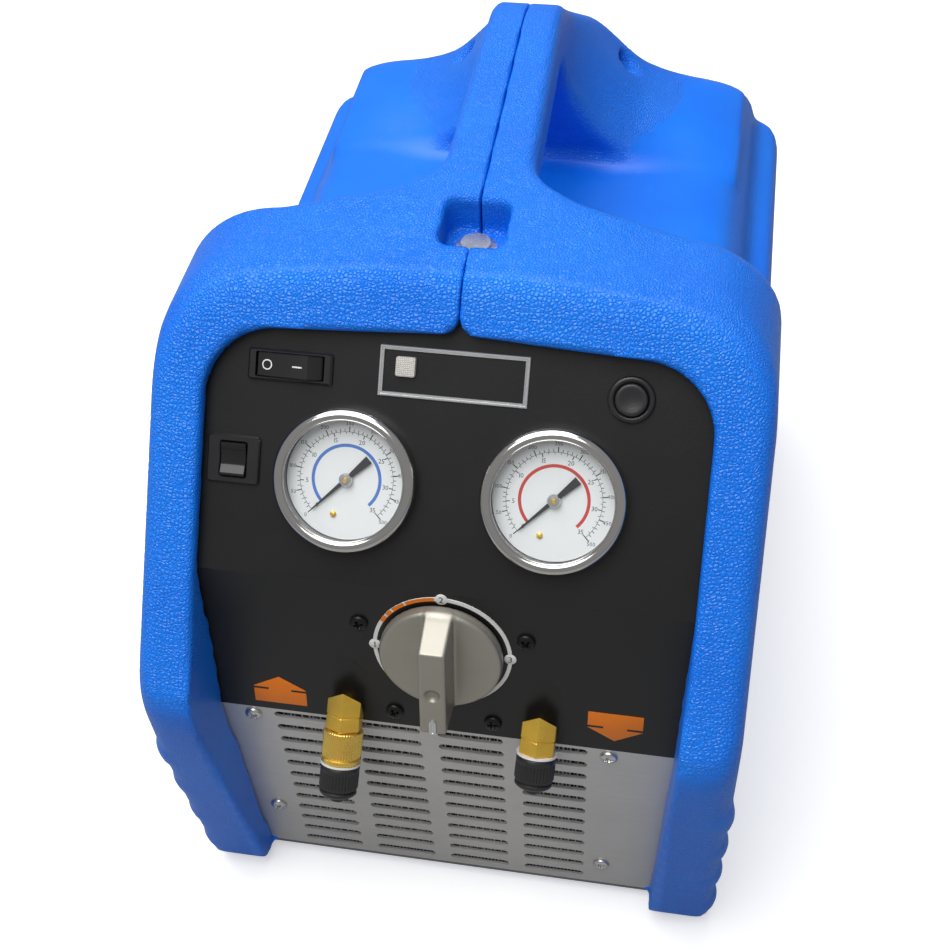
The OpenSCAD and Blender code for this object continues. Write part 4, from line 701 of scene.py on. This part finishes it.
points, faces = stack(reset_side, [(0.2, -5.1), (0, -4.85), (0, 4.85), (0.2, 5.1)])
fit("breaker_reset", upper, breaker_spot, (points[:, [2, 0, 1]], faces), breaker_black,
    "breaker_button", "button_grey", ["breaker_button"], crease=35)


# ---- Gauges ----
# Two panel gauges in cans behind the panel: a plated bezel rolled in two steps, a clear lens, a white
# printed dial with a coloured arc, and a black needle on a pivot with a turned cap.
def glyphs(size):
    """The ten digits as flat meshes of a height in mm: their points, their faces and their widths."""
    made = []
    for digit in "0123456789":
        curve = bpy.data.curves.new("digit", "FONT")
        curve.body, curve.size, curve.resolution_u = digit, 1.0, 2
        holder = bpy.data.objects.new("digit", curve)
        scene.collection.objects.link(holder)
        bpy.context.view_layer.update()
        graph = bpy.context.evaluated_depsgraph_get()
        flat = bpy.data.meshes.new_from_object(holder.evaluated_get(graph))
        points = np.zeros(len(flat.vertices) * 3)
        flat.vertices.foreach_get("co", points)
        points = points.reshape(-1, 3)[:, :2]
        low, high = points.min(0), points.max(0)
        scale = size / (high - low)[1]
        faces = [list(face.vertices) for face in flat.polygons]
        made.append(((points - low) * scale, faces, (high - low)[0] * scale))
        bpy.data.objects.remove(holder)
        bpy.data.curves.remove(curve)
        bpy.data.meshes.remove(flat)
    return made


def number(text, digits, x, y, height, gap=0.22):
    """A number set upright with its middle at (x, y): its digits side by side with a gap between."""
    widths = [digits[int(c)][2] for c in text]
    left = -(sum(widths) + gap * (len(text) - 1)) / 2
    parts = []
    for c, width in zip(text, widths):
        points, faces, _ = digits[int(c)]
        tall = points[:, 1].max()
        parts.append((np.column_stack([points[:, 0] + left + x, points[:, 1] - tall / 2 + y,
                                       np.full(len(points), height)]), faces))
        left += width + gap
    return gathered(parts)


def dial_angle(share):
    """The scale runs clockwise from half past seven to half past four."""
    return np.radians(225 - 270 * np.asarray(share))


def ticks(count, inner, outer, width, height):
    """Count + 1 radial strokes along the scale, each a flat quad of the width."""
    angle = dial_angle(np.linspace(0, 1, count + 1))
    along = np.stack([np.cos(angle), np.sin(angle)], 1)
    across = np.stack([-along[:, 1], along[:, 0]], 1) * width / 2
    flat = np.stack([along * inner - across, along * outer - across,
                     along * outer + across, along * inner + across], 1)
    points = np.concatenate([flat, np.full(flat.shape[:2] + (1,), height)], 2).reshape(-1, 3)
    return points, np.arange(len(points)).reshape(-1, 4)


def arc_band(angle, inner, outer, height):
    """A flat band between two radii along a row of angles."""
    steps = len(angle)
    rows = [np.column_stack([r * np.cos(angle), r * np.sin(angle), np.full(steps, height)])
            for r in (outer, inner)]
    index = np.arange(2 * steps).reshape(2, steps)
    faces = np.stack([index[0, :-1], index[0, 1:], index[1, 1:], index[1, :-1]], 1)
    return np.concatenate(rows), faces


dial_white = plain_finish(
    "dial_white", (0.84, 0.87, 0.88), 0.5, shade=0.96, patch=40.0, grain=2000.0, depth=0.00001)
arc_blue = plain_finish("arc_blue", (0.05, 0.19, 0.62), 0.45, shade=0.85, patch=200.0, depth=0.00001)
arc_red = plain_finish("arc_red", (0.62, 0.03, 0.02), 0.45, shade=0.85, patch=200.0, depth=0.00001)
brass = plain_finish("brass", (0.98, 0.62, 0.09), 0.34, 0.75, shade=0.8, patch=110.0, grain=1600.0)
needle_black = plain_finish("needle_black", (0.010, 0.010, 0.011), 0.35, patch=250.0, depth=0.00001)
case_steel = plain_finish("case_steel", (0.30, 0.30, 0.31), 0.4, 0.9, patch=80.0)
clear_lens, shader, place = new_finish("clear_lens")
dress(shader, {
    "Base Color": place.noise(30.0).blend((0.85, 0.9, 0.92), (0.95, 0.97, 0.98)),
    "Roughness": 0.04, "Alpha": 0.02 + 0.01 * place.noise(60.0), "IOR": 1.49})
chrome = plain_finish("chrome", (0.62, 0.61, 0.59), 0.11, 1.0, shade=0.93, mottle=0.05, patch=90.0,
                      grain=1500.0, depth=0.000004)
gauge_side, gauge_rise = 41.4, 42.0
roll = np.radians(np.linspace(0, 118, 14))
bezel_profile = np.concatenate([
    [(26.1, 0.0), (28.75, 0.0)],
    np.column_stack([25.95 + 2.8 * np.cos(roll), 4.4 + 2.88 * np.sin(roll)]),
    [(24.55, 6.75), (24.35, 6.85), (24.1, 6.8), (23.9, 6.55), (23.9, 6.02), (26.1, 6.02), (26.1, 0.0)]])
dial_top = -0.4
dial_profile = [(0, -1.2), (24.3, -1.2), (24.3, dial_top), (0, dial_top)]
print_top = dial_top + 0.03
scale_line = 18.9
dial_parts = [ticks(*row, print_top) for row in (
    (50, scale_line, 20.1, 0.26), (10, scale_line, 21.0, 0.42), (35, 18.0, scale_line, 0.22),
    (7, 17.4, scale_line, 0.38))]
dial_parts.append(arc_band(dial_angle(np.linspace(0, 1, 72)), 18.82, 18.98, print_top))
for count, step, digits, radius in ((10, 50, glyphs(1.5), 22.3), (7, 5, glyphs(1.8), 16.0)):
    for k in range(count + 1):
        angle = dial_angle(k / count)
        dial_parts.append(number(
            str(step * k), digits, radius * math.cos(angle), radius * math.sin(angle), print_top))
needle = np.array([(-0.25, 18.5), (-0.85, 2.0), (-0.9, 0), (-1.0, -3.0), (-1.75, -12.4), (1.75, -12.4),
                   (1.0, -3.0), (0.9, 0), (0.85, 2.0), (0.25, 18.5)])
needle_points, needle_faces = stack(needle, [(0, 0.4), (0, 0.85), (0.12, 1.0)])
needle_points = turned(needle_points, math.radians(135))
screw_x, screw_y = -4.5, -14.4

for name, side, arc_finish in (("low", -1, arc_blue), ("high", 1, arc_red)):
    spot = (side * gauge_side, gauge_rise)
    fit(name + "_bezel_ring", upper, spot, lathe(bezel_profile, 160), chrome, "casing", "chrome",
        [name + "_gauge_bezel"], weld=True, crease=50)
    fit(name + "_dial_plate", upper, spot, lathe(dial_profile, 128), dial_white, "casing", "dial_white",
        [name + "_gauge_dial"], weld=True, crease=40)
    fit(name + "_dial_print", upper, spot, gathered(dial_parts), print_black, "casing", "needle_black",
        crease=30)
    fit(name + "_dial_arc", upper, spot,
        arc_band(dial_angle(np.linspace(0, 1, 96)), 12.9, 14.2, print_top),
        arc_finish, "casing", "dial_white", crease=30)
    fit(name + "_pointer", upper, spot, (needle_points, needle_faces), needle_black, name + "_needle",
        "needle_black", [name + "_gauge_needle"], crease=30)
    fit(name + "_pivot_cap", upper, spot,
        lathe([(0, 0.9), (2.7, 0.9), (2.7, 1.7), (2.4, 2.1), (1.2, 2.2), (1.1, 2.05), (0, 2.05)], 48),
        bolt_steel, name + "_needle", "chrome", weld=True, crease=40)
    fit(name + "_pivot_pin", upper, spot,
        lathe([(0, -1.0), (0.95, -1.0), (0.95, 2.25), (0.8, 2.4), (0, 2.45)], 32),
        brass, name + "_needle", "brass", weld=True, crease=40)
    fit(name + "_dial_screw", upper, (spot[0] + screw_x, spot[1] + screw_y),
        lathe([(0, dial_top), (1.3, dial_top), (1.25, 0.1), (0.9, 0.35), (0, 0.4)], 32),
        brass, "casing", "brass", weld=True, crease=40)
    clothe(clear_lens, name + "_gauge_lens")
    clothe(case_steel, name + "_gauge_case")

# ---- Index ring ----
# A white ring round the knob, orange over the stretch from ten to twelve o'clock, with three round
# white badges that carry the positions' numbers. It is printed film, stuck on the panel.
ring_white = plain_finish("ring_white", (0.78, 0.78, 0.76), 0.42, shade=0.93, patch=150.0, depth=0.00001)
knob_spot = (0.0, -30.8)
badge_reach = 28.1
badge_spots = [(-badge_reach, 0.0), (0.0, badge_reach), (badge_reach, 0.0)]
badge_points, badge_faces = lathe([(0, 0.0), (2.5, 0.0), (2.5, 0.5), (2.35, 0.62), (0, 0.62)], 40)
badges = [(shifted(badge_points, x, y), badge_faces) for x, y in badge_spots]
fit("index_print", lower, knob_spot, gathered([flat_ring(28.9, 1.6, 0.5, 128)] + badges), ring_white,
    "casing", "white_print", ["index_ring"], weld=True, crease=40)
stretches = [arc_band(np.radians(np.linspace(start, end, 24)), 27.2, 29.0, 0.56)
             for start, end in ((152, 145), (143.4, 137), (135.4, 123), (121.4, 96))]
fit("index_sector", lower, knob_spot, gathered(stretches), label_orange, "casing", "white_print",
    crease=30)
badge_digits = glyphs(3.0)
numbers = [number(str(k + 1), badge_digits, x, y, 0.66) for k, (x, y) in enumerate(badge_spots)]
fit("index_numbers", lower, knob_spot, gathered(numbers), print_black, "casing", "needle_black",
    crease=30)

# ---- Mode knob ----
# A moulded knob with a silver painted finish: a flat disc with a bevelled rim, and a grip bar that
# runs level from past the rim and then falls steeply to the disc. A dimple and a silver mark in its
# top show where it points.
disc_radius, disc_bottom, disc_top = 25.5, 0.8, 6.5
bar_half, bar_top, bar_front, bar_back = 5.5, 23, -25, 25.2
ramp_y, ramp_rise, ramp_run = 18.6, 0.352, 0.936
dimple_y, dimple_z, dimple_radius = -3.7, 24.2, 3.6


def knob_body(x, y, z):
    """Signed distance to the knob: a bevelled disc, joined by a small fillet to a tapering bar whose
    top is level and then a steep ramp, with a round dimple pressed into it."""
    r = np.hypot(x, y)
    disc = meet(meet(r - disc_radius, z - disc_top, 1.7), disc_bottom - z, 0.5)
    top = np.maximum(z - bar_top, ramp_rise * (z - bar_top) + ramp_run * (y - ramp_y))
    bar = meet(meet(np.abs(x) - bar_half - 0.02 * (bar_top - z), top, 1.2),
               np.maximum(bar_front - y, y - bar_back), 1.4)
    bar = np.maximum(bar, 4 - z)
    knob = join(disc, bar, 1.0)
    dimple = np.sqrt(x ** 2 + (y - dimple_y) ** 2 + (z - dimple_z) ** 2) - dimple_radius
    return meet(knob, -dimple, 0.3)


knob_line = np.arange(-26.4, 26.5, 0.62)
knob_skin = skin_of(knob_body, knob_line, knob_line, np.arange(0.2, 24.4, 0.6))
knob_silver = plain_finish("knob_silver", (0.38, 0.36, 0.31), 0.40, 0.65, shade=0.9, mottle=0.12,
                           grain=2600.0, depth=0.00002)
fit("mode_grip", lower, knob_spot, knob_skin, knob_silver, "knob", "knob_silver", ["mode_knob"])
mark_drop = 20.8
fit("mode_mark", lower, (knob_spot[0], knob_spot[1] - mark_drop),
    stack(box_outline(2.8, 7.6, 1.2), [(0, 22.8), (0, 23.5), (0.35, 23.75), (0.8, 23.75), (1.0, 23.5)]),
    trim_silver, "knob", "knob_silver", crease=40)

# ---- Ports ----
# Brass fittings that slope down out of the panel: a black gasket and a short neck at the sheet, a
# hexagon body, a knurled coupling on the inlet, nylon washers, and ribbed black caps on the flares.
port_axis = np.array((-0.034899, -0.587427, -0.808524))
port_up = np.array((0, -0.80902, 0.58779))
port_side, port_drop = 41.5, 60.5
brass_yellow = plain_finish(
    "brass_yellow", (0.95, 0.66, 0.15), 0.28, 0.8, shade=0.82, patch=110.0, depth=0.00002)
nylon_white = plain_finish(
    "nylon_white", (0.80, 0.80, 0.77), 0.4, shade=0.94, patch=100.0, depth=0.00002)
cap_black = plain_finish("cap_black", (0.022, 0.022, 0.023), 0.38, patch=120.0, grain=2400.0)
corner_angle = np.radians(30 + 60 * np.arange(6))
hexagon_half = 7.2
hexagon = rounded_outline(
    np.column_stack([np.cos(corner_angle), np.sin(corner_angle)]) * hexagon_half / math.cos(math.pi / 6),
    [0.7] * 6, 4)
hexagon_levels = [
    (0.3, 0), (0, 0), (0, 9.3), (0.35, 9.6), (0.35, 9.9), (0, 10.3), (0, 15.9), (0.6, 16.6)]
hexagon_points, hexagon_faces = stack(hexagon, hexagon_levels)

# The hexagon's upper end lies along the panel: its first two levels are moved to a slant that falls
# with the height on the port, and the levels as far as the groove are kept beyond that slant.
slant_middle, slant_fall, slant_most, slant_step = 7.1, 1.05, 14.2, 0.2
level = np.repeat(np.arange(len(hexagon_levels)), len(hexagon))
slant = np.minimum(slant_middle - slant_fall * hexagon_points[:, 1], slant_most) + slant_step * level
kept = np.maximum(hexagon_points[:, 2], np.where(level < 6, slant, 0))
hexagon_points[:, 2] = np.where(level < 2, slant, kept)

angle = np.linspace(0, 2 * np.pi, 48, endpoint=False)
gasket = np.column_stack([9 * np.cos(angle), 14 * np.sin(angle)])
gasket_drop, neck_shift, neck_drop = 55, 0.4, 70
cap_profile = np.array([
    (0, 2.5), (7.2, 2.5), (7.2, 0), (8.1, 0), (8.4, 0.3), (8.4, 2.6), (8.3, 2.9), (8.4, 3.2), (8.4, 9.8),
    (8.1, 10.3), (7.3, 11.4), (8.0, 11.9), (8.0, 12.7), (7.5, 13.3), (6.6, 14.0), (3.2, 14.0),
    (3.0, 14.3), (3.0, 16.3), (2.6, 16.8), (0, 16.8)])
cap_ribs, cap_depths = 36, [0] * 6 + [0.3, 0.55, 0.55, 0.3] + [0] * 10
knurl_profile = [
    (6.0, 16.9), (7.9, 16.9), (8.4, 17.4), (8.5, 17.7), (8.5, 28.1), (8.2, 28.5), (7.9, 28.7),
    (7.9, 29.1), (8.5, 29.4), (8.5, 31.0), (8.0, 31.5), (6.0, 31.5), (6.0, 16.9)]
knurl_ribs, knurl_depths = 44, [0, 0, 0.2, 0.55, 0.55, 0.2] + [0] * 7
steps_per_rib = 6

for name, side, cap_start in (("inlet", -1, 32.6), ("outlet", 1, 17.7)):
    origin = np.array((side * port_side, fold_y, fold_z)) - port_drop * lower[1][1]
    port = panel_frame(origin, port_up, port_axis)
    fit(name + "_hexagon", port, (0, 0), (hexagon_points, hexagon_faces), brass, "casing", "brass",
        [name + "_fitting"], crease=25)
    fit(name + "_gasket", lower, (side * port_side, -gasket_drop),
        stack(gasket, [(0, -0.2), (0, 0.04), (0.3, 0.06)]), panel_black, "casing", "panel_black",
        crease=30)
    fit(name + "_neck", lower, (side * port_side - neck_shift, -neck_drop),
        lathe([(0, -0.5), (4.4, -0.5), (4.4, 5.0), (0, 5.0)], 40), brass, "casing", "brass",
        weld=True, crease=40)
    clothe(nylon_white, name + "_seal")
    fit(name + "_cap_ribbed", port, (0, 0),
        lathe(cap_profile + (0, cap_start), cap_ribs * steps_per_rib, cap_ribs, cap_depths),
        cap_black, name + "_cap", "cap_black", [name + "_cap"], weld=True, crease=50)
    if name == "inlet":
        fit("inlet_knurl", port, (0, 0),
            lathe(knurl_profile, knurl_ribs * steps_per_rib, knurl_ribs, knurl_depths),
            brass_yellow, "inlet_coupling", "brass", ["inlet_coupling"], weld=True, crease=60)

# ---- Rear sheet, base and feet ----
# A painted vented sheet closes the back, round the moulded mains inlet. A steel base plate lies on
# the casing's floor flange, and four rubber feet stand under it.
clothe(black_plastic, "power_inlet", "run_capacitor")
for name, colour, look, nodes in (
        ("dark_paint", (0.035, 0.036, 0.038), {"patch": 40.0, "grain": 1500.0, "depth": 0.00006},
         ("rear_panel", "fan_shroud", "motor_housing", "motor_cradle")),
        ("base_grey", (0.20, 0.20, 0.21), {"metallic": 0.3, "patch": 30.0, "grain": 900.0},
         ("base_plate",)),
        ("foot_rubber", (0.02, 0.02, 0.02),
         {"roughness": 0.75, "patch": 90.0, "grain": 1500.0, "depth": 0.00008}, ("rubber_feet",))):
    clothe(plain_finish(name, colour, **{"roughness": 0.5, **look}), *nodes)

# ---- Inside ----
# The condenser's copper tubes, the fan, the motor and the oil-less twin compressor, with their pipes
# and the valve behind the panel. They show only through the slots.
clothe(brass, "valve_stem", "valve_block", "pressure_switch")
for name, colour, roughness, metallic, look, nodes in (
        ("copper", (0.62, 0.27, 0.15), 0.28, 1.0, {"shade": 0.7},
         ("condenser_tubes", "refrigerant_pipes", "gauge_pipes")),
        ("cast_aluminium", (0.55, 0.55, 0.56), 0.48, 0.9,
         {"patch": 120.0, "grain": 1200.0, "depth": 0.0001},
         ("crankcase", "cylinders", "cylinder_heads")),
        ("fan_white", (0.74, 0.74, 0.72), 0.45, 0.0, {}, ("cooling_fan",)),
        ("core_iron", (0.16, 0.16, 0.17), 0.5, 0.8, {"patch": 90.0, "stretch": (1.0, 6.0, 1.0)},
         ("stator", "rotor_core")),
        ("shaft_steel", (0.60, 0.61, 0.62), 0.25, 1.0, {"patch": 90.0},
         ("drive_shaft", "motor_bearings")),
        ("piston_plastic", (0.30, 0.28, 0.24), 0.5, 0.0, {"patch": 90.0}, ("pistons",))):
    clothe(plain_finish(name, colour, roughness, metallic, **look), *nodes)

# ---- Floor and light ----
# A pale studio floor that keeps the machine's shadow, a white surround that lights the machine only
# weakly, and two wide soft lamps: one overhead and one high above the front.
floor_corners = [(-4, -4, 0), (4, -4, 0), (4, 6, 0), (-4, 6, 0)]
floor_mesh = bpy.data.meshes.new("studio_floor")
floor_mesh.from_pydata(floor_corners, [], [[0, 1, 2, 3]])
floor = bpy.data.objects.new("studio_floor", floor_mesh)
scene.collection.objects.link(floor)
floor_pale, shader, place = new_finish("floor_pale")
ray = place.node("ShaderNodeLightPath", out="Is Camera Ray")
lightness = 0.4 + 0.05 * place.noise(3.0) + 0.5 * ray
dress(shader, {
    "Base Color": lightness.held(0.0, 1.0).blend((0, 0, 0), (0.96, 0.96, 0.95)),
    "Emission Color": (0.42 * ray).blend((0, 0, 0), (1.0, 1.0, 1.0)), "Emission Strength": 1.0,
    "Roughness": 0.7, "Specular IOR Level": 0.1})
floor_mesh.materials.append(floor_pale)

world = bpy.data.worlds.new("studio")
world.use_nodes = True
scene.world = world
ray, through = (Wire(world.node_tree).node("ShaderNodeLightPath", out=kind)
                for kind in ("Is Camera Ray", "Is Transmission Ray"))
seen = ray.maths("MAXIMUM", ray, through)
dress(world.node_tree.nodes["Background"], {"Color": (1.0, 1.0, 1.0, 1.0), "Strength": 0.32 + 0.68 * seen})
for name, spot, aim, size, power in (
        ("lamp_over", (-0.35, 0.25, 1.6), (0, 0, 0.15), 1.5, 18.0),
        ("lamp_front", (-0.3, -0.7, 1.8), (0, -0.1, 0.15), 1.4, 17.0)):
    lamp_data = bpy.data.lights.new(name, "AREA")
    lamp_data.shape, lamp_data.size, lamp_data.energy = "DISK", size, power
    lamp = bpy.data.objects.new(name, lamp_data)
    scene.collection.objects.link(lamp)
    way = Vector(aim) - Vector(spot)
    lamp.matrix_world = Matrix.Translation(spot) @ way.to_track_quat("-Z", "Y").to_matrix().to_4x4()
bpy.context.scene.view_settings.view_transform = "Standard"
